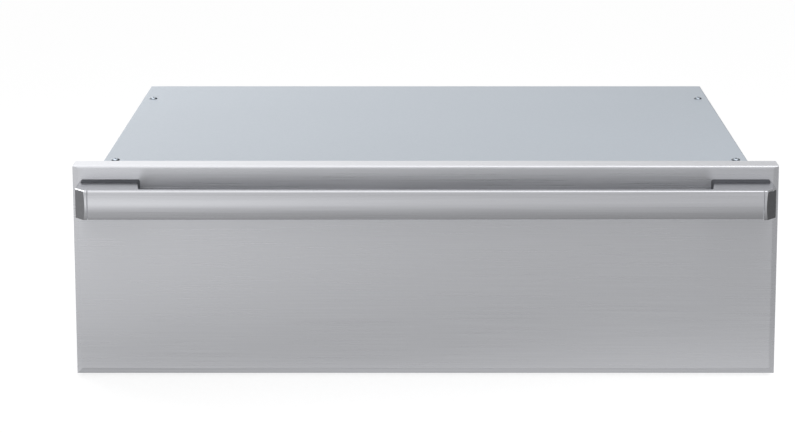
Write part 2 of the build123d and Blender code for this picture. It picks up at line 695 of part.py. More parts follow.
def heating_element():
    """One sheathed tube: in by one leg, round the cavity's floor and out by the other."""
    front, rear = tube_run()
    tail = Y_BAY + TUBE_TAIL
    half = [(TUBE_LEG_X, tail), (TUBE_LEG_X, rear), (X_TUBE, rear), (X_TUBE, front)]
    route = [(x, y, TUBE_Z) for x, y in half] + [(-x, y, TUBE_Z) for x, y in reversed(half)]
    path = FilletPolyline(*route, radius=TUBE_R)
    section = Plane(origin=path @ 0, x_dir=(1, 0, 0), z_dir=path % 0)
    outline = RegularPolygon(TUBE_FLAT / 2, TUBE_SIDES, major_radius=False)
    return sweep(section * Rot(0, 0, 180 / TUBE_SIDES) * outline, path)


def bracket_places():
    """Where the brackets stand, on the element's right-hand run."""
    front, rear = tube_run()
    rows = spread(front + TUBE_R, rear - TUBE_R, BRACKET_PITCH, BRACKET_FOOT)
    return [(X_TUBE, y) for y in rows]


def element_brackets():
    """Upright brackets with a window for the tube; the diffuser rests on them."""
    reach = TUBE_CORNER + BRACKET_GAP
    brackets = []
    for x, y in bracket_places():
        side = (x - BRACKET_W / 2, x + BRACKET_W / 2)
        post = block(side, (y, y + BRACKET_T), (Z_FLOOR, Z_DIFFUSER))
        post -= block((x - reach, x + reach), (y, y + BRACKET_T), (TUBE_Z - reach, TUBE_Z + reach))
        foot = block(side, (y, y + BRACKET_FOOT), (Z_FLOOR, Z_FLOOR + BRACKET_T))
        brackets += [post + foot, on_left(post + foot)]
    return Compound(children=brackets)


def heat_diffuser():
    """Slotted cover over the element, with its long edges turned down to the floor."""
    high = Z_DIFFUSER + DIFFUSER_T
    wide = X_CAVITY - DIFFUSER_SIDE_IN
    line = [(wide, Z_FLOOR), (wide, high), (-wide, high), (-wide, Z_FLOOR)]
    y = (Y_CASE + DIFFUSER_FRONT_IN, Y_LINER_REAR - DIFFUSER_REAR_IN)
    cover = along_y(folded(line, DIFFUSER_T), y)
    long, narrow = DIFFUSER_SLOT
    edge = wide - DIFFUSER_MARGIN
    limits = (y[0] + DIFFUSER_MARGIN, y[1] - DIFFUSER_MARGIN)
    rows = spread(*limits, DIFFUSER_SLOT_PITCH[1], narrow)
    for slot_x in spread(-edge, edge, DIFFUSER_SLOT_PITCH[0], long):
        x = (slot_x - long / 2, slot_x + long / 2)
        for slot_y in rows:
            cover -= block(x, (slot_y - narrow / 2, slot_y + narrow / 2), (Z_DIFFUSER, high))
    return cover


def probe_z():
    """Height of the temperature probe."""
    return Z_CEILING - PROBE_DROP


def temperature_sensor():
    """Probe through the rear wall, with a flange on the cavity's side."""
    front = Y_LINER_REAR - PROBE_L
    axis_point = (PROBE_X, front, probe_z())
    probe = rod(PROBE_R, axis_point, Y_LINER_REAR + PROBE_FLANGE_R, "y")
    seat = (PROBE_X, Y_LINER_REAR - PROBE_FLANGE_T, probe_z())
    return probe + hexagon(PROBE_FLANGE_R, seat, Y_LINER_REAR)


def cutout_z():
    """Height of the thermal cut-out."""
    return Z_FLOOR + CUTOUT_RISE


def thermal_cutout():
    """Bimetal safety switch flat against the rear wall, with two blade terminals."""
    front = Y_LINER_REAR + LINER_T
    switch = rod(CUTOUT_R, (CUTOUT_X, front, cutout_z()), front + CUTOUT_H, "y")
    wide, thick, long = CUTOUT_TAG
    for side in (-1, 1):
        z = cutout_z() + side * CUTOUT_R / 2
        switch += block(
            (CUTOUT_X - wide / 2, CUTOUT_X + wide / 2),
            (front + CUTOUT_H, front + CUTOUT_H + long),
            (z - thick / 2, z + thick / 2),
        )
    return switch


# --- Electrics ------------------------------------------------------------------------
def gland_z():
    """Height of the cord gland."""
    return Z_BASE + GLAND_RISE


def cord_gland():
    """Screwed gland in the rear panel and its lock nut, bored for the supply cord."""
    outside = Y_PANEL + CASE_T + GLAND_FACE_GAP
    inside = Y_PANEL - GLAND_FACE_GAP
    front = inside - GLAND_NUT_T
    end = outside + GLAND_RIM_T
    axis_point = (GLAND_X, front, gland_z())
    body = rod(GLAND_BODY_R, axis_point, end, "y")
    body += hexagon(GLAND_RIM_R, (GLAND_X, outside, gland_z()), end)
    body -= rod(GLAND_BORE_R, axis_point, end, "y")
    nut = hexagon(GLAND_NUT_R, axis_point, inside)
    nut -= shank((GLAND_BODY_R + GLAND_FACE_GAP) / cos(radians(22.5)), axis_point, inside)
    return Compound(children=[body, nut])


def terminal_block():
    """Moulded block with a slot and a clamp screw for each wire."""
    wide, deep, high = BLOCK_SIZE
    low = Z_BASE + BLOCK_RISE
    left = BLOCK_X - wide / 2
    body = block((left, left + wide), (Y_BAY, Y_BAY + deep), (low, low + high))
    pitch = (wide - BLOCK_WALL) / BLOCK_WAYS
    screws = []
    for way in range(BLOCK_WAYS):
        start = left + BLOCK_WALL + way * pitch
        slot_floor = Y_BAY + deep - BLOCK_SLOT_DEPTH
        slot = block(
            (start, start + pitch - BLOCK_WALL), (slot_floor, Y_BAY + deep), (low, low + high)
        )
        body -= slot
        middle = (start + (pitch - BLOCK_WALL) / 2, slot_floor, low + high / 2)
        screws.append(hexagon(BLOCK_SCREW_R, middle, slot_floor + BLOCK_SCREW_H))
    return Compound(children=[body, *screws])


def power_board():
    """Power board with its relay, transformer and capacitor."""
    wide, thick, high = BOARD_SIZE
    left, low = BOARD_X - wide / 2, Z_BASE + BOARD_RISE
    face = Y_BAY + SPACER_L + thick
    board = block((left, left + wide), (face - thick, face), (low, low + high))

    def part_on_board(size, at):
        x, z = left + at[0], low + at[1]
        return block((x, x + size[0]), (face, face + size[1]), (z, z + size[2]))

    board += part_on_board(RELAY_SIZE, RELAY_AT)
    board += part_on_board(TRANSFORMER_SIZE, TRANSFORMER_AT)
    capacitor = (left + CAPACITOR_AT[0], face, low + CAPACITOR_AT[1])
    return board + rod(CAPACITOR_R, capacitor, face + CAPACITOR_L, "y")


def board_spacers():
    """Four hexagon spacers between the heat shield and the power board."""
    wide, high = BOARD_SIZE[0], BOARD_SIZE[2]
    left, low = BOARD_X - wide / 2, Z_BASE + BOARD_RISE
    spacers = []
    for x in (left + SPACER_IN, left + wide - SPACER_IN):
        for z in (low + SPACER_IN, low + high - SPACER_IN):
            spacers.append(hexagon(SPACER_R, (x, Y_BAY, z), Y_BAY + SPACER_L))
    return Compound(children=spacers)


# --- Telescopic slides ----------------------------------------------------------------
def member(section_line, thickness, radii, y):
    """A slide member from its section line in u and v, for the right-hand slide."""
    line = [(X_CAVITY - u, Z_SLIDE + v) for u, v in section_line]
    return along_y(folded(line, thickness, radii), y)


def race(part, u, v, radius, y):
    """Presses a shallow race for a row of balls above and below the section's middle."""
    for side in (-1, 1):
        centre = (X_CAVITY - u, y[0], Z_SLIDE + side * v)
        part -= rod(radius + BALL_GAP, centre, y[1], "y")
    return part


def lipped_line(web_u, tip_u, half_v, lip_v):
    """Section line of a channel with a web, two flanges and a lip at each flange's tip."""
    lower = [
        (tip_u, -lip_v),
        (tip_u, -half_v),
        (web_u + MEMBER_BEVEL, -half_v),
        (web_u, MEMBER_BEVEL - half_v),
    ]
    return lower + [(u, -v) for u, v in reversed(lower)]


def slide_outer():
    """Outer member, fixed to the liner, with lips round the big balls and a rear stop."""
    race_r = BIG_BALL_R + BALL_GAP + OUTER_T
    line = lipped_line(0, OUTER_U, OUTER_V, BIG_BALL_V - BALL_LIP)
    channel = member(line, OUTER_T, [race_r, 0, 0, 0, 0, race_r], Y_SLIDE)
    stop = block(
        (X_CAVITY - OUTER_U, X_CAVITY - OUTER_T),
        (Y_SLIDE[1] - STOP_T, Y_SLIDE[1]),
        (Z_SLIDE - STOP_V, Z_SLIDE + STOP_V),
    )
    return channel + stop


def moving_member_y():
    """Where the middle and inner members lie with the drawer closed."""
    return (Y_SLIDE[0], Y_SLIDE[1] - MEMBER_TRIM)


def slide_middle():
    """Middle member: big balls run outside its flanges and small balls inside them."""
    race_r = SMALL_BALL_R + BALL_GAP + MIDDLE_T
    line = lipped_line(MIDDLE_U, SMALL_BALL_U + race_r, MIDDLE_V, SMALL_BALL_V - BALL_LIP)
    y = moving_member_y()
    channel = member(line, MIDDLE_T, [race_r, 0, 0, 0, 0, race_r], y)
    return race(channel, BIG_BALL_U, BIG_BALL_V, BIG_BALL_R, y)


def slide_inner():
    """Inner member, fixed to the drawer's rail, with small balls outside its flanges."""
    bevel_u, bevel_v = SLIDE_U - MEMBER_BEVEL, INNER_V - MEMBER_BEVEL
    upper = [(INNER_TIP_U, INNER_V), (bevel_u, INNER_V), (SLIDE_U, bevel_v)]
    line = upper + [(u, -v) for u, v in reversed(upper)]
    y = moving_member_y()
    channel = member(line, INNER_T, None, y)
    return race(channel, SMALL_BALL_U, SMALL_BALL_V, SMALL_BALL_R, y)


def ball(radius):
    """A bearing ball cut to 24 facets; its poles, which meet the races, are at full radius."""
    belt = RegularPolygon(radius * 0.866, 8)
    half = radius / 2
    sections = [Vertex(0, 0, -radius), Pos(0, 0, -half) * belt, Pos(0, 0, half) * belt]
    return loft([*sections, Vertex(0, 0, radius)], ruled=True)


def ball_cage(web_u, tip_u, ball_u, ball_v, radius):
    """A bent strip that keeps two rows of balls at an even pitch, with its balls."""
    middle = (Y_SLIDE[0] + Y_SLIDE[1]) / 2
    y = (middle - CAGE_L / 2, middle + CAGE_L / 2)
    web_x = X_CAVITY - web_u
    half = CAGE_T / 2
    cage = block((web_x - CAGE_T, web_x), y, (Z_SLIDE - ball_v - half, Z_SLIDE + ball_v + half))
    pitch = CAGE_L / BALLS_PER_ROW
    reach = radius + BALL_NOTCH_GAP
    balls = []
    for side in (-1, 1):
        z = Z_SLIDE + side * ball_v
        cage += block((X_CAVITY - tip_u, web_x), y, (z - half, z + half))
        for number in range(BALLS_PER_ROW):
            ball_y = y[0] + (number + 0.5) * pitch
            cage -= block(
                (X_CAVITY - tip_u, X_CAVITY - ball_u + reach),
                (ball_y - reach, ball_y + reach),
                (z - half, z + half),
            )
            balls.append(Pos(X_CAVITY - ball_u, ball_y, z) * ball(radius))
    return Compound(children=[cage, *balls])


def ball_cage_outer():
    """Cage of big balls between the outer and the middle member."""
    tip = OUTER_U - OUTER_T - CAGE_TIP_GAP
    return ball_cage(OUTER_T + CAGE_WEB_GAP, tip, BIG_BALL_U, BIG_BALL_V, BIG_BALL_R)


def ball_cage_inner():
    """Cage of small balls between the middle and the inner member."""
    tip = SMALL_BALL_U + SMALL_BALL_R + BALL_GAP - CAGE_TIP_GAP
    web = MIDDLE_U + MIDDLE_T + CAGE_WEB_GAP
    return ball_cage(web, tip, SMALL_BALL_U, SMALL_BALL_V, SMALL_BALL_R)


# --- Drawer frame and pan -------------------------------------------------------------
def rail_screw_places():
    """The screws through each rail's front tab into the front's back plate."""
    x = X_RAIL - RAIL_T - RAIL_SCREW_IN
    rows = (Z_RAIL[0] + RAIL_SCREW_LOW, Z_RAIL[1] - RAIL_SCREW_DROP)
    return [(side * x, z) for side in (-1, 1) for z in rows]


def drawer_rail():
    """Right rail: a bent channel with windows, whose front tab holds the drawer front."""
    low, high = Z_RAIL
    foot, top = X_RAIL - RAIL_FOOT_FLANGE, X_RAIL - RAIL_TOP_FLANGE
    line = [(foot, low), (X_RAIL, low), (X_RAIL, high), (top, high)]
    rail = along_y(folded(line, RAIL_T), (Y_BACK, Y_RAIL_END))
    rail += block((X_RAIL - RAIL_TAB, X_RAIL), (Y_BACK, Y_BACK + RAIL_T), (low, high))
    for x, z in rail_screw_places():
        if x > 0:
            wide, tall = RAIL_SLOT[0] / 2, RAIL_SLOT[1] / 2
            rail -= block((x - wide, x + wide), (Y_BACK, Y_BACK + RAIL_T), (z - tall, z + tall))
    z = high - RAIL_WINDOW_DROP
    long, tall = RAIL_WINDOW[0] / 2, RAIL_WINDOW[1] / 2
    limits = (Y_BACK + RAIL_WINDOW_END, Y_RAIL_END - RAIL_WINDOW_END)
    for y in spread(*limits, RAIL_WINDOW_PITCH, RAIL_WINDOW[0]):
        rail -= block((X_RAIL - RAIL_T, X_RAIL), (y - long, y + long), (z - tall, z + tall))
    return rail


def rail_screws():
    """Hexagon-headed screws that hold the rails to the front's back plate."""
    head_face = Y_BACK + RAIL_T
    screws = []
    for x, z in rail_screw_places():
        screw = hexagon(SCREW_HEAD[0], (x, head_face, z), head_face + SCREW_HEAD[1])
        screw += shank(RAIL_SCREW_R, (x, Y_BACK - RAIL_SCREW_TIP, z), head_face)
        screws.append(screw)
    return Compound(children=screws)


def drawer_rear_brace():
    """Angle across the rear of the rails, behind the pan."""
    wide = X_RAIL - RAIL_T
    rear = Y_RAIL_END - BRACE_IN
    low = Z_RAIL[0] + RAIL_T
    line = [(rear, low + BRACE_H), (rear, low), (rear + BRACE_FOOT, low)]
    return along_x(folded(line, RAIL_T), (-wide, wide))


def drawer_pan():
    """Deep-drawn pan: rounded corners and floor edge, with a flat rim on the rails."""
    rim_top = Z_RAIL[1] + PAN_T
    rim_x = X_RAIL - RAIL_T - PAN_RIM_SEAT
    rim_y = (Y_BACK + PAN_FRONT_GAP, Y_RAIL_END - PAN_REAR_GAP)
    wall_x = rim_x - PAN_RIM
    wall_y = (rim_y[0] + PAN_RIM, rim_y[1] - PAN_RIM)

    def tub(inset, ease, floor_size):
        body = block(
            (inset - wall_x, wall_x - inset),
            (wall_y[0] + inset, wall_y[1] - inset),
            (Z_PAN + inset, rim_top),
        )
        body = fillet(body.edges().filter_by(Axis.Z), PAN_CORNER_R - inset)
        return ease(body.faces().sort_by(Axis.Z)[0].edges(), floor_size)

    rim = block((-rim_x, rim_x), rim_y, (Z_RAIL[1], rim_top))
    rim = chamfer(rim.edges().filter_by(Axis.Z), PAN_RIM)
    outside = tub(0, chamfer, BEVEL_FOR_ROUND * PAN_FLOOR_R)
    return outside + rim - tub(PAN_T, fillet, PAN_FLOOR_R - PAN_T)


# --- Drawer front ---------------------------------------------------------------------
def front_box(inset, rear, ease, share):
    """The front's outline drawn in by inset, with its top edge eased and its border slanted."""
    x, y = X_FRONT - inset, Y_FACE + inset
    low, high = Z_FRONT[0] + inset, Z_FRONT[1] - inset
    body = block((-x, x), (y, rear), (low, high))
    top = body.faces().sort_by(Axis.Y)[0].edges().sort_by(Axis.Z)[-1]
    body = ease(top, share * (EDGE_TOP_R - inset))
    foot = Polyline((y, low), (y + BORDER_DEPTH, low), (y, low + BORDER_W), close=True)
    body -= along_x(make_face(foot), (-x, x))
    for end in (-x, x):
        inner = end - copysign(BORDER_W, end)
        side = Polyline((end, y), (end, y + BORDER_DEPTH), (inner, y), close=True)
        body -= along_z(make_face(side), (low, high))
    return body


def handle_screw_places():
    """Two screws side by side into each post."""
    x = (X_GAP + SCREW_FROM_GAP + X_BAR) / 2
    z = (Z_HANDLE[0] + Z_HANDLE[1]) / 2
    half = HANDLE_SCREW_PITCH / 2
    return [(side * x + step, z) for side in (-1, 1) for step in (-half, half)]


def front_skin():
    """Brushed steel skin: one sheet with a slanting border and a hem round the back."""
    rear = Y_BACK - BACKPLATE_T
    skin = front_box(0, rear, fillet, 1.0)
    skin -= front_box(SKIN_T, rear - SKIN_T, chamfer, BEVEL_FOR_ROUND)
    hem_x = X_FRONT - SKIN_T - HEM_W
    hem_z = (Z_FRONT[0] + SKIN_T + HEM_W, Z_FRONT[1] - SKIN_T - HEM_W)
    skin -= block((-hem_x, hem_x), (rear - SKIN_T, rear), hem_z)
    for x, z in handle_screw_places():
        start = (x, Y_FACE, z)
        skin -= shank(HANDLE_SCREW_R + SCREW_HOLE_GAP, start, Y_FACE + SKIN_T)
    return skin


def front_backplate():
    """Sheet that closes the front, with the vent's slots and the rail screws' holes."""
    x = X_FRONT - BACKPLATE_IN
    y = (Y_BACK - BACKPLATE_T, Y_BACK)
    plate = block((-x, x), y, (Z_FRONT[0] + BACKPLATE_IN, Z_FRONT[1] - BACKPLATE_IN))
    for screw_x, z in rail_screw_places():
        plate -= shank(RAIL_SCREW_R + SCREW_HOLE_GAP, (screw_x, y[0], z), y[1])
    return plate - vent_slots(y, 0)


def front_insulation():
    """Mineral wool board inside the front."""
    gap = SKIN_T + HEM_W
    return block(
        (gap - X_FRONT, X_FRONT - gap),
        (Y_FACE + SKIN_T + FRONT_WOOL_GAP, Y_BACK - BACKPLATE_T - FRONT_WOOL_GAP),
        (Z_FRONT[0] + gap, Z_FRONT[1] - gap),
    )


def closing_bumpers():
    """Rubber buttons on the back plate that meet the face frame's flange."""
    x = X_FRONT - BUMPER_IN
    bumpers = []
    for side in (-1, 1):
        for z in (Z_FRONT[0] + BUMPER_END, Z_FRONT[1] - BUMPER_END):
            bumpers.append(bar(8, BUMPER_R, (side * x, Y_BACK, z), Y_FRAME - BUMPER_GAP))
    return Compound(children=bumpers)


# --- Handle ---------------------------------------------------------------------------
def grip(x):
    """The grip's crowned section, with square edges, between two X limits."""
    low, high = Z_HANDLE
    back, edge = Y_GRIP + BAR_T, Y_GRIP + BAR_CROWN
    crown = ThreePointArc((edge, high), (Y_GRIP, (low + high) / 2), (edge, low))
    sides = Polyline((edge, low), (back, low), (back, high), (edge, high))
    return along_x(make_face(crown + sides), x)


def handle_bar():
    """Full-width bar with a crowned face and rounded front edges."""
    bar_body = grip((-X_BAR, X_BAR))
    upper = bar_body.edges().filter_by(Axis.X).group_by(Axis.Y)[0].sort_by(Axis.Z)[-1]
    bar_body = fillet(upper, BAR_TOP_R)
    lower = bar_body.edges().filter_by(Axis.X).group_by(Axis.Z)[0].sort_by(Axis.Y)[0]
    return fillet(lower, BAR_FOOT_R)


def handle_post():
    """Right post: carries the bar's end and flares into it round the finger gap."""
    front, rear = Y_GRIP + BAR_T, Y_FACE - FOOT_T
    x = X_GAP - POST_FLARE
    outline = make_face(
        Polyline((X_GAP, rear), (X_BAR, rear), (X_BAR, front), (x - GAP_R, front))
        + RadiusArc((x - GAP_R, front), (x, front + GAP_R), -GAP_R)
        + Line((x, front + GAP_R), (X_GAP, rear))
    )
    post = along_z(outline, Z_HANDLE)
    for x, z in handle_screw_places():
        if x > 0:
            start = (x, rear - HANDLE_SCREW_L, z)
            post -= shank(HANDLE_SCREW_R + SCREW_HOLE_GAP, start, rear)
    return post


def handle_end():
    """Right end cap: the grip's section, a shadow line and an outer corner cut to a slant."""
    rear = Y_FACE - FOOT_T
    cap = grip((X_BAR, X_HANDLE))
    cap += block((X_BAR, X_HANDLE), (Y_GRIP + BAR_T, rear), Z_HANDLE)
    seam = (X_BAR, X_BAR + CAP_SEAM_W)
    cap -= block(seam, (Y_GRIP, Y_GRIP + CAP_SEAM_DEPTH), Z_HANDLE)
    corner = Polyline(
        (X_BAR + CAP_FLAT, Y_GRIP), (X_HANDLE, Y_GRIP), (X_HANDLE, Y_GRIP + CAP_BEVEL), close=True
    )
    cap -= along_z(make_face(corner), Z_HANDLE)
    top = cap.faces().sort_by(Axis.Z)[-1].edges()
    outer = [edge for edge in top if edge.center().X > seam[1] + CAP_TOUCH]
    return fillet([edge for edge in outer if edge.center().Y < Y_GRIP + CAP_BEVEL], BAR_TOP_R)


def handle_gasket():
    """Dark seat between the right post, its end cap and the front, with a rim on three sides."""
    x = (X_GAP - FOOT_RIM, X_HANDLE - FOOT_END_IN)
    z = (Z_HANDLE[0] - FOOT_RIM, Z_HANDLE[1] + FOOT_RIM)
    seat = block(x, (Y_FACE - FOOT_T, Y_FACE), z)
    seat = chamfer(seat.edges().filter_by(Axis.Y), FOOT_BEVEL)
    for screw_x, screw_z in handle_screw_places():
        if screw_x > 0:
            start = (screw_x, Y_FACE - FOOT_T, screw_z)
            seat -= shank(HANDLE_SCREW_R + SCREW_HOLE_GAP, start, Y_FACE)
    return seat


def handle_screws():
    """Screws from inside the skin into the posts."""
    radius, height = SCREW_HEAD
    seat = Y_FACE + SKIN_T
    screws = []
    for x, z in handle_screw_places():
        screw = hexagon(radius, (x, seat, z), seat + height)
        tip = (x, Y_FACE - FOOT_T - HANDLE_SCREW_L + HANDLE_SCREW_TIP, z)
        screw += shank(HANDLE_SCREW_R, tip, seat)
        screws.append(screw)
    return Compound(children=screws)


# --- Hidden controls and vent ---------------------------------------------------------
def control_housing():
    """Moulded housing on the back plate, over the pan's front edge, open at its back."""
    low, high = Z_CONTROL
    rear = Y_BACK + CONTROL_D
    half = CONTROL_W / 2
    wall = CONTROL_WALL

    def section(inset, front):
        top, foot, end = high - inset, low + inset, rear - inset
        return make_face(
            Polyline(
                (front, foot),
                (end, foot),
                (end, top - CONTROL_NOSE),
                (end - CONTROL_NOSE, top),
                (front, top),
                close=True,
            )
        )

    housing = along_x(section(0, Y_BACK), (-half, half))
    housing -= along_x(section(wall + GLASS_T, Y_BACK), (wall - half, half - wall))
    recess_x = half - GLASS_IN + GLASS_GAP
    recess_y = glass_y(GLASS_GAP)
    return housing - block((-recess_x, recess_x), recess_y, (high - GLASS_T, high))


def glass_y(gap):
    """Front and rear of the control glass, or of its recess with a gap round it."""
    return (Y_BACK + GLASS_IN - gap, Y_BACK + CONTROL_D - CONTROL_NOSE - GLASS_REAR_IN + gap)


def control_glass():
    """Dark glass with touch keys, flush in the top of the housing."""
    half = CONTROL_W / 2 - GLASS_IN
    high = Z_CONTROL[1]
    glass = block((-half, half), glass_y(0), (high - GLASS_T, high))
    return chamfer(glass.edges().filter_by(Axis.Z), GLASS_CORNER)


def control_board():
    """Touch board under the glass."""
    half = CONTROL_W / 2 - CONTROL_WALL - CONTROL_BOARD_GAP
    ceiling = Z_CONTROL[1] - CONTROL_WALL - GLASS_T - CONTROL_BOARD_GAP
    rear = Y_BACK + CONTROL_D - CONTROL_NOSE - CONTROL_WALL - GLASS_T - CONTROL_BOARD_GAP
    return block((-half, half), (glass_y(0)[0], rear), (ceiling - CONTROL_BOARD_T, ceiling))


def vent_slots(y, shift):
    """The row of slots that lets moist air out, moved along X by shift."""
    half_w, half_h = VENT_SLOT_W / 2, VENT_SLOT_H / 2
    middles = spread(X_VENT[0] + VENT_END, X_VENT[1] - VENT_END, VENT_PITCH, VENT_SLOT_W)
    z = (Z_VENT - half_h, Z_VENT + half_h)
    return [block((x + shift - half_w, x + shift + half_w), y, z) for x in middles]


def vent_frame():
    """Guide on the back plate: two lipped edges that hold the slider."""
    x = X_VENT
    low, high = Z_VENT - VENT_H / 2, Z_VENT + VENT_H / 2
    rear = Y_BACK + VENT_DEPTH
    frame = block(x, (Y_BACK, rear), (low, high))
    wall = VENT_WALL
    frame -= block(
        (x[0] + wall, x[1] - wall), (Y_BACK + wall, rear - wall / 2), (low + wall, high - wall)
    )
    inner_z = (low + wall + VENT_LIP, high - wall - VENT_LIP)
    frame -= block((x[0] + wall, x[1] - wall), (Y_BACK + wall, rear), inner_z)
    return frame - vent_slots((Y_BACK, Y_BACK + wall), 0)


def vent_slider():
    """Slotted shutter with a finger knob; closed at rest, open after its travel."""
    floor = Y_BACK + VENT_WALL + SLIDER_GAP
    wall, gap = VENT_WALL, SLIDER_GAP
    low, high = Z_VENT - VENT_H / 2 + wall + gap, Z_VENT + VENT_H / 2 - wall - gap
    left = X_VENT[0] + wall + gap
    right = X_VENT[1] - wall - gap - VENT_TRAVEL
    y = (floor, floor + SLIDER_T)
    slider = block((left, right), y, (low, high))
    slider -= vent_slots(y, -VENT_TRAVEL)
    knob_x = (left + KNOB_IN, left + KNOB_IN + KNOB_W)
    knob_z = (Z_VENT - VENT_SLOT_H / 2, Z_VENT + VENT_SLOT_H / 2)
    knob = block(knob_x, (y[1], y[1] + KNOB_OUT), knob_z)
    knob = chamfer(knob.faces().sort_by(Axis.Y)[-1].edges(), KNOB_BEVEL)
    return slider + knob


# --- All the pieces -------------------------------------------------------------------
SINGLE_PIECES = (
    base_pan,
    rear_panel,
    top_cover,
    top_cover_screws,
    rear_screws,
    front_frame,
    frame_gasket,
    liner_shell,
    liner_floor,
    liner_rear,
    insulation_top,
    insulation_bottom,
    insulation_rear,
    rear_heat_shield,
    heating_element,
    element_brackets,
    heat_diffuser,
    temperature_sensor,
    thermal_cutout,
    cord_gland,
    terminal_block,
    power_board,
    board_spacers,
    drawer_rear_brace,
    drawer_pan,
    rail_screws,
    front_skin,
    front_backplate,
    front_insulation,
    closing_bumpers,
    handle_bar,
    handle_screws,
    control_housing,
    control_glass,
    control_board,
    vent_frame,
    vent_slider,
)
RIGHT_AND_LEFT_PIECES = (
    side_panel,
    insulation_side,
    slide_outer,
    slide_middle,
    slide_inner,
    ball_cage_outer,
    ball_cage_inner,
    drawer_rail,
    handle_post,
    handle_end,
    handle_gasket,
)


def all_pieces():
    """Every node's name with its solid or solids."""
    nodes = {make.__name__: make() for make in SINGLE_PIECES}
    for make in RIGHT_AND_LEFT_PIECES:
        right = make()
        nodes[make.__name__ + "_right"] = right
        nodes[make.__name__ + "_left"] = on_left(right)
    return nodes


os.makedirs("parts", exist_ok=True)
for node_name, node_part in all_pieces().items():
    export_step(node_part, f"parts/{node_name}.step")
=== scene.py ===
import math

import bmesh
import bpy
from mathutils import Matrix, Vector


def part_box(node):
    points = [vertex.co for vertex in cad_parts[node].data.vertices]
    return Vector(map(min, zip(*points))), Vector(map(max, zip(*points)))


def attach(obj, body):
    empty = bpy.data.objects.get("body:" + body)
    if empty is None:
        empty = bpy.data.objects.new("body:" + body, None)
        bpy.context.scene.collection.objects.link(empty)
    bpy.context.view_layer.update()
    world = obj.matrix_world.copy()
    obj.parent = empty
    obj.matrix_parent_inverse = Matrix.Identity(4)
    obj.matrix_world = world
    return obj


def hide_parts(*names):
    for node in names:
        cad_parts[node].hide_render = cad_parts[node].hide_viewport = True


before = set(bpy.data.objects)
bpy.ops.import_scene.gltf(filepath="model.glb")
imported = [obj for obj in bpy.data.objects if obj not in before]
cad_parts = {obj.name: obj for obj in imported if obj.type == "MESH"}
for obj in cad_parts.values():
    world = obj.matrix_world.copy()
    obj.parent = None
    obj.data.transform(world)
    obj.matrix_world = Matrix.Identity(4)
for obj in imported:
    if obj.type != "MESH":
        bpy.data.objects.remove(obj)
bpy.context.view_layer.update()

# Looks for a built-in warming drawer: finishes for every sheet-metal, moulded and sealed piece,
# and the fine forms that its construction model leaves plain. Metres, in the model's own frame:
# X along the front, Y from the front to the rear, Z up.

bl_info = {
    "name": "Warming drawer looks",
    "version": (1, 0, 0),
    "blender": (4, 5, 0),
    "location": "View3D > Sidebar > Warming drawer",
    "description": "Finishes, fine detail and a studio for a built-in warming drawer",
    "category": "Object",
}

MM = 0.001
SIDES = ("left", "right")
KEYS = 6  # touch keys on the control glass
BOARD_SHEET = 1.7 * MM  # from a circuit board's spacers to just behind its own sheet
LONGEST_BALL = 10 * MM  # what is longer along Y in a cage's node is its strip


# --- Colours and nodes ---
def linear(code):
    """Turns an sRGB hex colour into linear RGB with full alpha."""
    parts = [int(code[i : i + 2], 16) / 255 for i in (1, 3, 5)]
    return (*(c / 12.92 if c <= 0.04045 else ((c + 0.055) / 1.055) ** 2.4 for c in parts), 1.0)


def shade(colour, share):
    """A colour made darker or lighter by a share."""
    return (*(min(1.0, c * share) for c in colour[:3]), 1.0)


def add(tree, kind, inputs=None, **settings):
    """Adds a node. Settings are its properties; inputs are its sockets' values or links.

    A node given as an input is linked by its first output in use, and a list links several.
    """
    node = tree.nodes.new(kind)
    for name, value in settings.items():
        setattr(node, name, value)
    for key, value in (inputs or {}).items():
        for entry in value if isinstance(value, list) else (value,):
            if isinstance(entry, bpy.types.Node):
                entry = next(socket for socket in entry.outputs if socket.enabled)
            if isinstance(entry, bpy.types.NodeSocket):
                tree.links.new(entry, node.inputs[key])
            else:
                node.inputs[key].default_value = entry
    return node


def wander(tree, place, cells, low, high, detail=2.0):
    """A value that wanders from low to high over cells of one size in mm, or of three."""
    sides = cells if isinstance(cells, tuple) else (cells,) * 3
    scale = tuple(1 / (side * MM) for side in sides)
    scaled = add(tree, "ShaderNodeMapping", {"Vector": place, "Scale": scale})
    noise = add(tree, "ShaderNodeTexNoise", {"Vector": scaled, "Scale": 1.0, "Detail": detail})
    limits = {"Value": noise, "From Min": 0.3, "From Max": 0.7, "To Min": low, "To Max": high}
    return add(tree, "ShaderNodeMapRange", limits)


def finish(name, shades, shade_cells, roughness, rough_cells, relief=None, detail=2.0, **fixed):
    """A material whose colour and roughness wander between two values each.

    Relief is the size of its cells and their depth, in mm; fixed are the shader's own values.
    """
    material = bpy.data.materials.new(name)
    material.use_nodes = True
    tree = material.node_tree
    tree.nodes.clear()
    place = add(tree, "ShaderNodeTexCoord").outputs["Object"]
    tone = wander(tree, place, shade_cells, 0.0, 1.0, detail)
    colour = add(tree, "ShaderNodeMix", {0: tone, 6: shades[0], 7: shades[1]}, data_type="RGBA")
    inputs = {"Base Color": colour, "Roughness": wander(tree, place, rough_cells, *roughness)}
    if relief:
        height = wander(tree, place, relief[0], 0.0, 1.0, detail)
        depth = relief[1] * MM
        inputs["Normal"] = add(tree, "ShaderNodeBump", {"Height": height, "Distance": depth})
    for socket, value in fixed.items():
        inputs[socket.replace("_", " ")] = value
    shader = add(tree, "ShaderNodeBsdfPrincipled", inputs)
    add(tree, "ShaderNodeOutputMaterial", {"Surface": shader})
    return material, tree, shader, place


def lay_over(tree, shader, share, colour):
    """Lays another colour over the shader's own, as far as the share says."""
    inputs = {0: share, 6: shader.inputs["Base Color"].links[0].from_socket, 7: colour}
    mixed = add(tree, "ShaderNodeMix", inputs, data_type="RGBA").outputs[2]
    tree.links.new(mixed, shader.inputs["Base Color"])


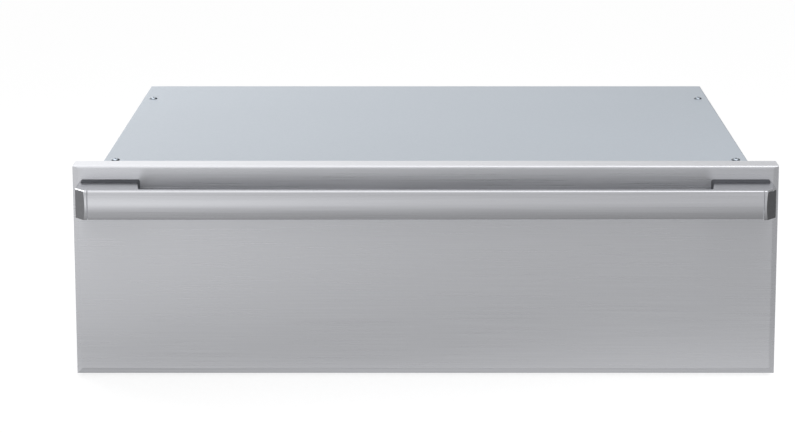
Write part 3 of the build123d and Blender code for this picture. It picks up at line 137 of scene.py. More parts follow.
# --- Materials ---
def brushed_stainless(name, colour, roughness, pitch, spread):
    """Stainless steel brushed along X with a fine belt.

    The belt's grooves draw each reflection out up and down, so a face is even along its
    length and soft from top to bottom. Real grooves are about 0.1 mm apart; they are drawn
    at the pitch given, which is as fine as a picture of this size shows.
    """
    shades = shade(colour, 0.965), shade(colour, 1.035)
    grooves = (160.0, pitch / MM, pitch / MM)
    relief = (grooves, 0.005)
    matte = (roughness - 0.035, roughness + 0.035)
    metal = {"Metallic": 1.0, "Anisotropic": spread}
    material, tree, shader, _ = finish(name, shades, grooves, matte, grooves, relief, 3.0, **metal)
    # The grooves' direction has a trace of Y in it, so that it also holds on faces square to X.
    normal = add(tree, "ShaderNodeNewGeometry").outputs["Normal"]
    inputs = {0: normal, 1: (1.0, 0.02, 0.0)}
    across = add(tree, "ShaderNodeVectorMath", inputs, operation="CROSS_PRODUCT")
    tree.links.new(across.outputs["Vector"], shader.inputs["Tangent"])
    return material


def rolled_stainless(name, colour, roughness):
    """Cold-rolled stainless sheet with a mill finish: even and faintly cloudy, with no grooves."""
    shades = shade(colour, 0.97), shade(colour, 1.03)
    matte = (roughness - 0.015, roughness + 0.015)
    clouds, smears = (70.0, 200.0, 70.0), (11.0, 60.0, 11.0)
    return finish(name, shades, clouds, matte, smears, (clouds, 0.01), 1.0, Metallic=1.0)[0]


def coated_sheet(name, colour, roughness, shaded_folds=None):
    """Steel sheet with a satin coat baked on: a cool grey with a very fine orange peel.

    A darker line of painted shade lies along each outer fold: shaded_folds gives the
    half width and the rear edge past which that line lies.
    """
    shades = shade(colour, 0.985), shade(colour, 1.015)
    matte = (roughness - 0.03, roughness + 0.03)
    peel, clouds = 2.4, 400.0
    material, tree, shader, place = finish(
        name, shades, clouds, matte, peel, (peel, 0.008), 1.0, Metallic=0.25
    )
    if shaded_folds:
        axes = add(tree, "ShaderNodeSeparateXYZ", {"Vector": place}).outputs
        wide = add(tree, "ShaderNodeMath", {0: axes["X"]}, operation="ABSOLUTE")
        wide = add(tree, "ShaderNodeMath", {0: wide, 1: shaded_folds[0]}, operation="GREATER_THAN")
        rear = add(tree, "ShaderNodeMath", {0: axes["Y"], 1: shaded_folds[1]}, operation="GREATER_THAN")
        fold_shade_mask = add(tree, "ShaderNodeMath", {0: wide, 1: rear}, operation="MAXIMUM")
        # painted shade: a darker line along the outer folds
        lay_over(tree, shader, fold_shade_mask, shade(colour, 0.72))
    return material


def galvanised_sheet(name, colour, roughness):
    """Hot-dip galvanised sheet: zinc crystals, each a little lighter or duller than the next."""
    grit, crystal = 1.1, 14.0
    shades, matte = (colour, colour), (roughness, roughness)
    material, tree, shader, place = finish(
        name, shades, grit, matte, grit, (grit, 0.004), 1.0, Metallic=1.0
    )
    crystals = add(tree, "ShaderNodeTexVoronoi", {"Vector": place, "Scale": 1 / (crystal * MM)})
    tones = add(tree, "ShaderNodeSeparateColor", {"Color": crystals.outputs["Color"]}).outputs
    inputs = {0: tones["Red"], 6: shade(colour, 0.92), 7: shade(colour, 1.06)}
    zinc = add(tree, "ShaderNodeMix", inputs, data_type="RGBA").outputs[2]
    tree.links.new(zinc, shader.inputs["Base Color"])
    limits = {"Value": tones["Green"], "To Min": roughness - 0.06, "To Max": roughness + 0.06}
    matte = add(tree, "ShaderNodeMapRange", limits).outputs["Result"]
    tree.links.new(matte, shader.inputs["Roughness"])
    return material


def zinc_plate(name, colour, roughness):
    """Bright zinc plate on pressed steel: a cool white metal with a faint straw bloom."""
    straw = (colour[0] * 1.02, colour[1], colour[2] * 0.92, 1.0)
    bloom, smears = (22.0, 80.0, 22.0), (2.0, 12.0, 2.0)
    matte = (roughness - 0.04, roughness + 0.05)
    return finish(name, (colour, straw), bloom, matte, smears, Metallic=1.0)[0]


def plated_head(name, colour, roughness):
    """Zinc-plated screw head: a bright crown, and painted shade on the flanks that lean sideways.
    """
    smears = 5.0
    shades = colour, shade(colour, 1.05)
    matte = (roughness - 0.04, roughness + 0.05)
    material, tree, shader, _ = finish(name, shades, smears, matte, smears, Metallic=1.0)
    normal = add(tree, "ShaderNodeNewGeometry").outputs["Normal"]
    lean = add(tree, "ShaderNodeSeparateXYZ", {"Vector": normal}).outputs["X"]
    lean = add(tree, "ShaderNodeMath", {0: lean}, operation="ABSOLUTE")
    # painted shade on the flanks, by how far the normal leans along X
    flank_shade = add(tree, "ShaderNodeMapRange", {"Value": lean, "From Min": 0.12, "From Max": 0.4})
    lay_over(tree, shader, flank_shade, shade(colour, 0.22))
    return material


def ground_ball_steel(name, colour):
    """Hardened chrome steel, ground and lapped: a near mirror with a trace of grease haze."""
    haze = 3.3
    return finish(name, (shade(colour, 0.97), colour), haze, (0.06, 0.16), haze, Metallic=1.0)[0]


def tinted_sheath(name, colour, straw):
    """Nickel alloy heater sheath, dulled and tinted from straw to blue-grey by its own heat."""
    bands = 45.0
    return finish(name, (colour, straw), bands, (0.38, 0.52), bands, detail=3.0, Metallic=1.0)[0]


def mineral_wool(name, colour):
    """Pressed mineral wool: matted fibres some 5 mm long that lie along the board."""
    fibres, tufts = (4.5, 1.4, 1.4), 17.0
    shades = shade(colour, 0.72), colour
    return finish(name, shades, fibres, (0.9, 1.0), tufts, (fibres, 0.8), 4.0, Sheen_Weight=0.2)[0]


def silicone_rubber(name, colour):
    """Moulded silicone rubber: matte, with the mould's faint grain and a bloom of dust."""
    grain, bloom = 1.5, 42.0
    shades = colour, shade(colour, 1.3)
    return finish(name, shades, bloom, (0.58, 0.66), grain, (grain, 0.02), IOR=1.41)[0]


def moulded_plastic(name, colour, roughness):
    """Injection-moulded glass-filled nylon with a fine spark-eroded grain."""
    grain = 0.4
    shades = shade(colour, 0.9), shade(colour, 1.15)
    matte = (roughness - 0.04, roughness + 0.04)
    return finish(name, shades, grain, matte, grain, (grain, 0.01), 1.0, IOR=1.53)[0]


def backed_glass(name, colour):
    """Tempered glass printed black on its back: a deep gloss with faint waves and finger smears."""
    waves, smears = 55.0, (14.0, 40.0, 14.0)
    shades = colour, shade(colour, 1.2)
    return finish(name, shades, waves, (0.04, 0.10), smears, (waves, 0.005), IOR=1.52)[0]


def printed_board(name, colour, part_colour, parts_from):
    """Solder-masked glass-fibre board: green between paler tracks, darker past its parts' feet."""
    weave, track_pitch = 6.0, 9.0
    material, tree, shader, place = finish(name, (colour, colour), weave, (0.3, 0.4), weave)
    inputs = {"Vector": place, "Scale": 1 / (track_pitch * MM)}
    inputs |= {"Mortar Size": 0.04, "Mortar Smooth": 0.2}
    inputs |= {"Color1": colour, "Color2": shade(colour, 0.88), "Mortar": shade(colour, 1.6)}
    tracks = add(tree, "ShaderNodeTexBrick", inputs)
    tree.links.new(tracks.outputs["Color"], shader.inputs["Base Color"])
    along = add(tree, "ShaderNodeSeparateXYZ", {"Vector": place}).outputs["Y"]
    stands = add(tree, "ShaderNodeMath", {0: along, 1: parts_from}, operation="GREATER_THAN")
    lay_over(tree, shader, stands, part_colour)
    return material


def printed_ink(name, colour):
    """Ceramic ink fired on glass: flat and slightly matte."""
    dots = 1.1
    return finish(name, (shade(colour, 0.95), colour), dots, (0.35, 0.5), dots)[0]


# --- Sizes and colours that a user would change ---
def colour_prop(name, description, code):
    """A colour in the add-on's panel."""
    return bpy.props.FloatVectorProperty(
        name=name, description=description, subtype="COLOR", size=4, max=1.0, default=linear(code)
    )


def number_prop(name, description, value, **kind):
    """A number in the add-on's panel."""
    return bpy.props.FloatProperty(name=name, description=description, default=value, **kind)


def length_prop(name, description, millimetres):
    """A length in the add-on's panel."""
    kind = {"subtype": "DISTANCE", "unit": "LENGTH"}
    return number_prop(name, description, millimetres * MM, **kind)


def factor_prop(name, description, value):
    """A share from 0 to 1 in the add-on's panel."""
    return number_prop(name, description, value, subtype="FACTOR", min=0.0, max=1.0)


class DrawerFinishes(bpy.types.PropertyGroup):
    front_steel: colour_prop("Front steel", "Brushed stainless of the front", "#CDCED2")
    handle_steel: colour_prop("Handle steel", "Brushed stainless of the handle", "#C6C7CB")
    cover_sheet: colour_prop("Cover sheet", "Coated sheet of the top and the sides", "#B7C0CA")
    galvanised: colour_prop("Galvanised sheet", "Base, rear panel and heat shield", "#B4B8BC")
    liner: colour_prop("Liner steel", "Cavity, pan, frame, vent and back plate", "#B8B8B6")
    zinc: colour_prop("Zinc plate", "Slides, rails, brackets and screws", "#BEC0C2")
    ball: colour_prop("Ball steel", "Bearing balls and their cages", "#CFD0D2")
    sheath: colour_prop("Heater sheath", "Element where it runs hottest", "#4E4A4A")
    sheath_straw: colour_prop("Heater straw tint", "Element where it runs cooler", "#8A7A62")
    wool: colour_prop("Mineral wool", "Insulation boards", "#CDBF93")
    rubber: colour_prop("Silicone rubber", "Seal, handle seats and bumpers", "#696B70")
    plastic: colour_prop("Moulded plastic", "Control housing, gland and terminals", "#1D1E20")
    glass: colour_prop("Control glass", "Glass over the touch keys", "#08090B")
    ink: colour_prop("Key print", "Rings printed on the control glass", "#C9CED2")
    board: colour_prop("Circuit board", "Power and touch boards", "#14502C")
    board_part: colour_prop("Board parts", "Relay, transformer and capacitor", "#22262B")
    front_roughness: factor_prop("Front roughness", "How matte the brushed front is", 0.30)
    handle_roughness: factor_prop("Handle roughness", "How matte the brushed handle is", 0.20)
    front_spread: factor_prop("Front spread", "How far the front's grooves smear", 0.85)
    handle_spread: factor_prop("Handle spread", "How far the handle's grooves smear", 0.6)


class DrawerSizes(bpy.types.PropertyGroup):
    groove_pitch: length_prop("Groove pitch", "Distance between drawn brush lines", 1.1)
    fold_shade_width: length_prop("Fold line", "Width of the darker line along a coated fold", 1.6)
    screw_radius: length_prop("Cover screw radius", "Radius of a cover screw's head", 4.7)
    screw_height: length_prop("Cover screw height", "Height of a cover screw's head", 2.15)
    recess_length: length_prop("Recess length", "Length of the cross in a head", 5.4)
    recess_width: length_prop("Recess width", "Width of the cross in a head", 1.3)
    recess_depth: length_prop("Recess depth", "Depth of the cross in a head", 1.4)
    hex_radius: length_prop("Hexagon radius", "Corner radius of a hexagon head", 4.0)
    hex_height: length_prop("Hexagon height", "Height of a hexagon above its flange", 1.5)
    flange_radius: length_prop("Flange radius", "Radius of a hexagon head's flange", 4.7)
    flange_height: length_prop("Flange height", "Height of a hexagon head's flange", 0.7)
    tube_radius: length_prop("Element radius", "Radius of the heating element's tube", 3.2)
    tube_bend: length_prop("Element bend", "Radius of the element's bends", 30.0)
    tube_leg: length_prop("Element leg", "Distance of its legs from the middle", 40.0)
    tube_rear: length_prop("Element rear", "Where the element's rear run lies", 205.2)
    key_radius: length_prop("Key radius", "Radius of a ring round a touch key", 6.5)
    key_line: length_prop("Key line", "Width of a ring's printed line", 0.7)
    key_pitch: length_prop("Key pitch", "Distance between touch keys", 30.0)
    print_height: length_prop("Print height", "Thickness of the printed ink", 0.04)


class StudioSettings(bpy.types.PropertyGroup):
    lens: number_prop("Lens", "Focal length", 120.77, subtype="DISTANCE_CAMERA")
    tilt: number_prop("Tilt", "How far down it looks", math.radians(10.963), subtype="ANGLE")
    place: bpy.props.FloatVectorProperty(
        name="Camera", description="Where it stands", size=3, default=(0.0, -3.0881, 0.766)
    )
    shift: bpy.props.FloatVectorProperty(
        name="Shift", description="The picture's offset", size=2, default=(-0.0354, -0.05)
    )
    world: number_prop("World", "Strength of the even light", 0.55)
    floor: colour_prop("Floor", "Pale studio floor", "#F4F4F4")
    white: number_prop("White", "How white the floor looks", 0.79)
    shadow: factor_prop("Shadow", "How strongly shadows show on the floor", 0.40)


# --- Geometry trees for what repeats or follows a path ---
def start_tree(name, sizes):
    """A geometry tree with a geometry, named sizes and a material as its inputs."""
    tree = bpy.data.node_groups.new(name, "GeometryNodeTree")
    tree.interface.new_socket("Geometry", in_out="INPUT", socket_type="NodeSocketGeometry")
    for size in sizes:
        tree.interface.new_socket(size, in_out="INPUT", socket_type="NodeSocketFloat")
    tree.interface.new_socket("Material", in_out="INPUT", socket_type="NodeSocketMaterial")
    tree.interface.new_socket("Geometry", in_out="OUTPUT", socket_type="NodeSocketGeometry")
    return tree, add(tree, "NodeGroupInput").outputs


def end_tree(tree, given, geometry):
    """Turns instances into real geometry and gives it its material."""
    real = add(tree, "GeometryNodeRealizeInstances", {"Geometry": geometry})
    inputs = {"Geometry": real, "Material": given["Material"]}
    add(tree, "NodeGroupOutput", {"Geometry": add(tree, "GeometryNodeSetMaterial", inputs)})
    return tree


def end_at_points(tree, given, shape, turn=(0.0, 0.0, 0.0)):
    """Ends a tree with the shape at each point."""
    inputs = {"Points": given["Geometry"], "Instance": shape, "Rotation": turn}
    return end_tree(tree, given, add(tree, "GeometryNodeInstanceOnPoints", inputs))


def block(tree, x, y, z, height):
    """A block of that size, centred at that height."""
    size = add(tree, "ShaderNodeCombineXYZ", {0: x, 1: y, 2: z})
    cube = add(tree, "GeometryNodeMeshCube", {"Size": size})
    lift = add(tree, "ShaderNodeCombineXYZ", {"Z": height})
    return add(tree, "GeometryNodeTransform", {"Geometry": cube, "Translation": lift})


def cross_screw_tree():
    """Pan-headed screws with a cross recess, one at each point, that face along +Z."""
    sizes = ("Radius", "Height", "Recess Length", "Recess Width", "Recess Depth")
    tree, given = start_tree("Cross-head screws", sizes)
    _, radius, height, long, narrow, deep = given[:6]
    tall = add(tree, "ShaderNodeMath", {0: height, 1: 2.0}, operation="MULTIPLY")
    inputs = {"Vertices": 48, "Radius": radius, "Depth": tall}
    barrel = add(tree, "GeometryNodeMeshCylinder", inputs)
    ball = add(tree, "GeometryNodeMeshUVSphere", {"Segments": 48, "Rings": 24, "Radius": 1.0})
    # The dome is a little wider than the barrel, which leaves the head a short upright side.
    wide = add(tree, "ShaderNodeMath", {0: radius, 1: 1.06}, operation="MULTIPLY")
    scale = add(tree, "ShaderNodeCombineXYZ", {"X": wide, "Y": wide, "Z": height})
    dome = add(tree, "GeometryNodeTransform", {"Geometry": ball, "Scale": scale})
    inputs = {"Mesh 2": [barrel, dome]}
    head = add(tree, "GeometryNodeMeshBoolean", inputs, operation="INTERSECT", solver="EXACT")
    below = add(tree, "ShaderNodeMath", {0: height, 1: -1.0}, operation="MULTIPLY")
    broad = add(tree, "ShaderNodeMath", {0: radius, 1: 4.0}, operation="MULTIPLY")
    cut = add(tree, "ShaderNodeMath", {0: deep, 1: 2.0}, operation="MULTIPLY")
    away = [
        block(tree, broad, broad, tall, below),
        block(tree, long, narrow, cut, height),
        block(tree, narrow, long, cut, height),
    ]
    inputs = {"Mesh 1": head, "Mesh 2": away}
    screw = add(tree, "GeometryNodeMeshBoolean", inputs, operation="DIFFERENCE", solver="EXACT")
    return end_at_points(tree, given, screw)


def hex_screw_tree():
    """Hexagon heads on round flanges, one at each point, that face along +Y."""
    sizes = ("Corner Radius", "Hexagon Height", "Flange Radius", "Flange Height")
    tree, given = start_tree("Hexagon-head screws", sizes)
    _, corner, tall, flange, low = given[:5]
    layers = []
    for vertices, radius, depth, under in ((40, flange, low, 0.0), (6, corner, tall, low)):
        inputs = {"Vertices": vertices, "Radius": radius, "Depth": depth}
        layer = add(tree, "GeometryNodeMeshCylinder", inputs)
        middle = add(tree, "ShaderNodeMath", {0: depth, 1: 0.5, 2: under}, operation="MULTIPLY_ADD")
        rise = add(tree, "ShaderNodeCombineXYZ", {"Z": middle})
        inputs = {"Geometry": layer, "Translation": rise}
        layers.append(add(tree, "GeometryNodeTransform", inputs))
    head = add(tree, "GeometryNodeJoinGeometry", {"Geometry": layers})
    return end_at_points(tree, given, head, (-math.pi / 2, 0.0, 0.0))


def ball_tree():
    """A smooth bearing ball at each point."""
    tree, given = start_tree("Bearing balls", ("Radius",))
    inputs = {"Segments": 24, "Rings": 14, "Radius": given["Radius"]}
    ball = add(tree, "GeometryNodeMeshUVSphere", inputs)
    return end_at_points(tree, given, add(tree, "GeometryNodeSetShadeSmooth", {"Geometry": ball}))


def tube_tree():
    """A round tube along a line whose corners are bent to a radius."""
    tree, given = start_tree("Bent tube", ("Radius", "Bend Radius"))
    path = add(tree, "GeometryNodeMeshToCurve", {"Mesh": given["Geometry"]})
    inputs = {"Curve": path, "Radius": given["Bend Radius"], "Count": 14}
    bent = add(tree, "GeometryNodeFilletCurve", inputs, mode="POLY")
    inputs = {"Resolution": 20, "Radius": given["Radius"]}
    ring = add(tree, "GeometryNodeCurvePrimitiveCircle", inputs)
    inputs = {"Curve": bent, "Profile Curve": ring, "Fill Caps": True}
    tube = add(tree, "GeometryNodeCurveToMesh", inputs)
    return end_tree(tree, given, add(tree, "GeometryNodeSetShadeSmooth", {"Geometry": tube}))


def key_ring_tree():
    """A flat printed ring round each point, with a dot at its middle."""
    tree, given = start_tree("Touch keys", ("Radius", "Line", "Thickness"))
    _, radius, line, thick = given[:4]
    ring = add(tree, "GeometryNodeCurvePrimitiveCircle", {"Resolution": 48, "Radius": radius})
    inputs = {"Width": line, "Height": thick}
    section = add(tree, "GeometryNodeCurvePrimitiveQuadrilateral", inputs)
    inputs = {"Curve": ring, "Profile Curve": section}
    printed = add(tree, "GeometryNodeCurveToMesh", inputs)
    inputs = {"Vertices": 24, "Radius": line, "Depth": thick}
    dot = add(tree, "GeometryNodeMeshCylinder", inputs)
    key = add(tree, "GeometryNodeJoinGeometry", {"Geometry": [printed, dot]})
    return end_at_points(tree, given, key)


def grown(name, tree, vertices, edges, values, material):
    """Runs a geometry tree on points or lines and keeps the plain mesh that it makes."""
    if not vertices:
        raise RuntimeError(f"there is no place for {name}")
    seed = bpy.data.meshes.new(name + "-seed")
    seed.from_pydata(vertices, edges, [])
    carrier = bpy.data.objects.new(name + "-seed", seed)
    bpy.context.scene.collection.objects.link(carrier)
    modifier = carrier.modifiers.new("Tree", "NODES")
    modifier.node_group = tree
    sockets = {s.name: s.identifier for s in tree.interface.items_tree if s.in_out == "INPUT"}
    for label, value in values.items():
        modifier[sockets[label]] = value
    modifier[sockets["Material"]] = material
    bpy.context.view_layer.update()
    ready = carrier.evaluated_get(bpy.context.evaluated_depsgraph_get())
    mesh = bpy.data.meshes.new_from_object(ready)
    bpy.data.objects.remove(carrier)
    if not mesh.polygons:
        raise RuntimeError(f"the tree for {name} made no faces")
    mesh.name = name
    return placed(name, mesh)


# --- Shared steps ---
def placed(name, data):
    """Puts a mesh, light or camera into the scene as an object."""
    piece = bpy.data.objects.new(name, data)
    bpy.context.scene.collection.objects.link(piece)
    return piece


def paint(material, *nodes):
    """Gives carried-over nodes their finish."""
    for node in nodes:
        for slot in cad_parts[node].material_slots:
            slot.material = material


def both(*names):
    """Each name once for the left and once for the right."""
    return [f"{name}_{side}" for name in names for side in SIDES]


def settle(piece, body, slot, *nodes):
    """Puts a finished piece on its body and in place of its nodes; its slot is not used."""
    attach(piece, body)
    if nodes:
        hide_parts(*nodes)


def islands(node):
    """The separate shells of a node, as vertex and face lists, from a merged copy of its mesh."""
    work = bmesh.new()
    work.from_mesh(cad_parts[node].data)
    bmesh.ops.remove_doubles(work, verts=work.verts, dist=1e-6)
    shells, seen = [], set()
    for first in work.verts:
        if first in seen:
            continue
        shell, edge = [], [first]
        seen.add(first)
        while edge:
            vertex = edge.pop()
            shell.append(vertex)
            for link in vertex.link_edges:
                other = link.other_vert(vertex)
                if other not in seen:
                    seen.add(other)
                    edge.append(other)
        index = {vertex: number for number, vertex in enumerate(shell)}
        faces = {face for vertex in shell for face in vertex.link_faces}
        ordered = sorted(faces, key=lambda face: face.index)
        points = [vertex.co.copy() for vertex in shell]
        shells.append((points, [[index[vertex] for vertex in face.verts] for face in ordered]))
    work.free()
    return shells


def middle_and_size(points):
    """The middle of a shell's box and its sides."""
    low = Vector([min(p[i] for p in points) for i in range(3)])
    high = Vector([max(p[i] for p in points) for i in range(3)])
    return (low + high) / 2, high - low


class PieceOperator:
    """What the operators share: each builds its pieces from the colours and sizes in the panel."""

    bl_options = {"REGISTER"}

    def execute(self, context):
        self.build(context.scene.drawer_finishes, context.scene.drawer_sizes)
        return {"FINISHED"}


# --- Operators: the drawer front and handle ---
class DRAWER_OT_front(PieceOperator, bpy.types.Operator):
    """Finish the drawer front's skin, back plate and filling."""

    bl_idname = "drawer.front"
    bl_label = "Drawer front"

    def build(self, looks, sizes):
        grooves = looks.front_roughness, sizes.groove_pitch, looks.front_spread
        steel = brushed_stainless("Brushed stainless, front", looks.front_steel, *grooves)
        paint(steel, "front_skin")
        plate = rolled_stainless("Rolled stainless, back plate", looks.liner, 0.33)
        paint(plate, "front_backplate")
        paint(mineral_wool("Mineral wool, front", looks.wool), "front_insulation")


class DRAWER_OT_handle(PieceOperator, bpy.types.Operator):
    """Finish the handle's bar, posts and end caps."""

    bl_idname = "drawer.handle"
    bl_label = "Handle"

    def build(self, looks, sizes):
        grooves = looks.handle_roughness, sizes.groove_pitch, looks.handle_spread
        steel = brushed_stainless("Brushed stainless, handle", looks.handle_steel, *grooves)
        paint(steel, "handle_bar", *both("handle_post", "handle_end"))
        paint(zinc_plate("Zinc plate, handle screws", looks.zinc, 0.35), "handle_screws")


class DRAWER_OT_seals(PieceOperator, bpy.types.Operator):
    """Finish the seal, the bumpers and the handle's seats, which also stand in for shade."""

    bl_idname = "drawer.seals"
    bl_label = "Seals and bumpers"

    def build(self, looks, sizes):
        rubber = silicone_rubber("Silicone rubber", looks.rubber)
        # the handle's gaskets are seats, and their dark rims also stand in for the shade round the
        # posts' feet
        paint(rubber, "frame_gasket", "closing_bumpers", *both("handle_gasket"))


# --- Operators: the case ---
class DRAWER_OT_case(PieceOperator, bpy.types.Operator):
    """Finish the cover, side panels, base, rear panel, frame and heat shield."""

    bl_idname = "drawer.case"
    bl_label = "Case"

    def build(self, looks, sizes):
        corner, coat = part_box("top_cover")[1], looks.cover_sheet
        # where the painted shade along the cover's outer folds begins
        shaded_folds = (corner.x - sizes.fold_shade_width, corner.y - sizes.fold_shade_width)
        paint(coated_sheet("Coated sheet steel, cover", coat, 0.40, shaded_folds), "top_cover")
        paint(coated_sheet("Coated sheet steel, sides", coat, 0.40), *both("side_panel"))
        galvanised = galvanised_sheet("Hot-dip galvanised sheet", looks.galvanised, 0.42)
        paint(galvanised, "base_pan", "rear_panel", "rear_heat_shield")
        paint(rolled_stainless("Rolled stainless, face frame", looks.liner, 0.30), "front_frame")


class DRAWER_OT_cover_screws(PieceOperator, bpy.types.Operator):
    """Make the cross-headed screws in the top cover."""

    bl_idname = "drawer.cover_screws"
    bl_label = "Cover screws"

    def build(self, looks, sizes):
        sheet_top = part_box("top_cover")[1].z
        places = [middle_and_size(points)[0] for points, _ in islands("top_cover_screws")]
        colour = shade(looks.cover_sheet, 0.95)  # painted reflection: the heads take the cover's cool tint that their plate would mirror
        steel = plated_head("Zinc plate, cover screws", colour, 0.3)
        values = {
            "Radius": sizes.screw_radius,
            "Height": sizes.screw_height,
            "Recess Length": sizes.recess_length,
            "Recess Width": sizes.recess_width,
            "Recess Depth": sizes.recess_depth,
        }
        points = [(p.x, p.y, sheet_top) for p in places]
        piece = grown("cover_screw_heads", cross_screw_tree(), points, [], values, steel)
        settle(piece, "case", "screw_steel", "top_cover_screws")


class DRAWER_OT_rear_screws(PieceOperator, bpy.types.Operator):
    """Make the flanged hexagon screws in the rear panel."""

    bl_idname = "drawer.rear_screws"
    bl_label = "Rear screws"

    def build(self, looks, sizes):
        places = [middle_and_size(points)[0] for points, _ in islands("rear_screws")]
        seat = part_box("rear_screws")[1].y - sizes.hex_height - sizes.flange_height
        values = {
            "Corner Radius": sizes.hex_radius,
            "Hexagon Height": sizes.hex_height,
            "Flange Radius": sizes.flange_radius,
            "Flange Height": sizes.flange_height,
        }
        points = [(p.x, seat, p.z) for p in places]
        steel = zinc_plate("Zinc plate, rear screws", looks.zinc, 0.30)
        piece = grown("rear_screw_heads", hex_screw_tree(), points, [], values, steel)
        settle(piece, "case", "screw_steel", "rear_screws")


class DRAWER_OT_liner(PieceOperator, bpy.types.Operator):
    """Finish the warm cavity, its insulation and its probe."""

    bl_idname = "drawer.liner"
    bl_label = "Liner and insulation"

    def build(self, looks, sizes):
        steel = rolled_stainless("Rolled stainless, liner", looks.liner, 0.34)
        paint(steel, "liner_shell", "liner_floor", "liner_rear", "temperature_sensor")
        boards = ("insulation_top", "insulation_bottom", "insulation_rear")
        paint(mineral_wool("Mineral wool, case", looks.wool), *boards, *both("insulation_side"))


class DRAWER_OT_heating(PieceOperator, bpy.types.Operator):
    """Make the heating element and finish its brackets and diffuser."""

    bl_idname = "drawer.heating"
    bl_label = "Heating"

    def build(self, looks, sizes):
        low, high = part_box("heating_element")
        half_tube = (high.z - low.z) / 2
        out, front = high.x - half_tube, low.y + half_tube
        leg, rear, height = sizes.tube_leg, sizes.tube_rear, (low.z + high.z) / 2
        right = [(leg, high.y), (leg, rear), (out, rear), (out, front)]
        line = [(x, y, height) for x, y in right] + [(-x, y, height) for x, y in reversed(right)]
        edges = [(number, number + 1) for number in range(len(line) - 1)]
        sheath = tinted_sheath("Nickel alloy sheath", looks.sheath, looks.sheath_straw)
        values = {"Radius": sizes.tube_radius, "Bend Radius": sizes.tube_bend}
        tube = grown("heater_tube", tube_tree(), line, edges, values, sheath)
        settle(tube, "case", "heater_sheath", "heating_element")
        paint(zinc_plate("Zinc plate, brackets", looks.zinc, 0.34), "element_brackets")
        paint(rolled_stainless("Rolled stainless, diffuser", looks.liner, 0.30), "heat_diffuser")


class DRAWER_OT_electrics(PieceOperator, bpy.types.Operator):
    """Finish the boards, gland, terminal block and cut-out."""

    bl_idname = "drawer.electrics"
    bl_label = "Electrics"

    def build(self, looks, sizes):
        plastic = moulded_plastic("Glass-filled nylon, electrics", looks.plastic, 0.48)
        paint(plastic, "cord_gland", "terminal_block", "board_spacers", "thermal_cutout")
        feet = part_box("board_spacers")[1].y + BOARD_SHEET
        power = printed_board("Solder-masked board, power", looks.board, looks.board_part, feet)
        paint(power, "power_board")
        touch = printed_board("Solder-masked board, touch", looks.board, looks.board, feet)
        paint(touch, "control_board")


# --- Operators: slides and drawer ---
class DRAWER_OT_slides(PieceOperator, bpy.types.Operator):
    """Finish the telescopic slides' members."""

    bl_idname = "drawer.slides"
    bl_label = "Slides"

    def build(self, looks, sizes):
        plate = zinc_plate("Zinc plate, slides", looks.zinc, 0.27)
        paint(plate, *both("slide_outer", "slide_middle", "slide_inner"))


class DRAWER_OT_ball_cages(PieceOperator, bpy.types.Operator):
    """Make the bearing balls round and keep their bent cages."""

    bl_idname = "drawer.ball_cages"
    bl_label = "Ball cages"

    def build(self, looks, sizes):
        tree = ball_tree()
        ball_steel = ground_ball_steel("Lapped chrome steel", looks.ball)
        strip_steel = zinc_plate("Zinc plate, cages", looks.zinc, 0.30)
        for cage in both("outer", "inner"):
            self.make(cage, tree, ball_steel, strip_steel)

    def make(self, cage, tree, ball_steel, strip_steel):
        """Makes one cage's strip and its balls."""
        node, body = f"ball_cage_{cage}", cage.replace("_", "_balls_")
        centres, radius = [], 0.0
        for points, faces in islands(node):
            middle, size = middle_and_size(points)
            if size.y < LONGEST_BALL:
                centres.append(tuple(middle))
                radius = size.z / 2
            else:
                mesh = bpy.data.meshes.new(f"cage_strip_{cage}")
                mesh.from_pydata(points, [], faces)
                mesh.materials.append(strip_steel)
                settle(placed(mesh.name, mesh), body, "ball_steel", node)
        name, values = f"bearing_balls_{cage}", {"Radius": radius}
        settle(grown(name, tree, centres, [], values, ball_steel), body, "ball_steel")


class DRAWER_OT_drawer_box(PieceOperator, bpy.types.Operator):
    """Finish the rails, rear brace, pan and rail screws."""

    bl_idname = "drawer.drawer_box"
    bl_label = "Rails and pan"

    def build(self, looks, sizes):
        plate = zinc_plate("Zinc plate, rails", looks.zinc, 0.31)
        paint(plate, "drawer_rear_brace", "rail_screws", *both("drawer_rail"))
        paint(rolled_stainless("Rolled stainless, pan", looks.liner, 0.26), "drawer_pan")


class DRAWER_OT_controls(PieceOperator, bpy.types.Operator):
    """Finish the control housing and glass and print its touch keys."""

    bl_idname = "drawer.controls"
    bl_label = "Controls"

    def build(self, looks, sizes):
        plastic = moulded_plastic("Glass-filled nylon, controls", looks.plastic, 0.42)
        paint(plastic, "control_housing")
        paint(backed_glass("Black-backed glass", looks.glass), "control_glass")
        low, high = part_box("control_glass")
        row_y = (low.y + high.y) / 2
        face = high.z + 0.75 * sizes.print_height  # the print's middle: it just clears the glass
        middle = (KEYS - 1) / 2
        keys = [((number - middle) * sizes.key_pitch, row_y, face) for number in range(KEYS)]
        ink = printed_ink("Fired ceramic ink", looks.ink)
        values = {"Radius": sizes.key_radius, "Line": sizes.key_line}
        values["Thickness"] = sizes.print_height
        settle(grown("key_rings", key_ring_tree(), keys, [], values, ink), "drawer", "dark_glass")


class DRAWER_OT_vent(PieceOperator, bpy.types.Operator):
    """Finish the moisture vent and its slider."""

    bl_idname = "drawer.vent"
    bl_label = "Moisture vent"

    def build(self, looks, sizes):
        steel = rolled_stainless("Rolled stainless, vent", looks.liner, 0.28)
        paint(steel, "vent_frame", "vent_slider")


# --- Operator: stage ---
# name, place, target, size and power of each softbox
LAMPS = (
    ("Top softbox", (0.1, 0.2, 2.3), (0.0, -0.1, 0.1), (3.2, 0.7), 5.6),
    ("Left softbox", (-0.95, 0.5, 0.6), (-0.3, 0.2, 0.2), (0.5, 0.4), 2.2),
    ("Right softbox", (1.0, -0.3, 0.55), (0.3, -0.1, 0.2), (0.5, 0.4), 2.6),
)
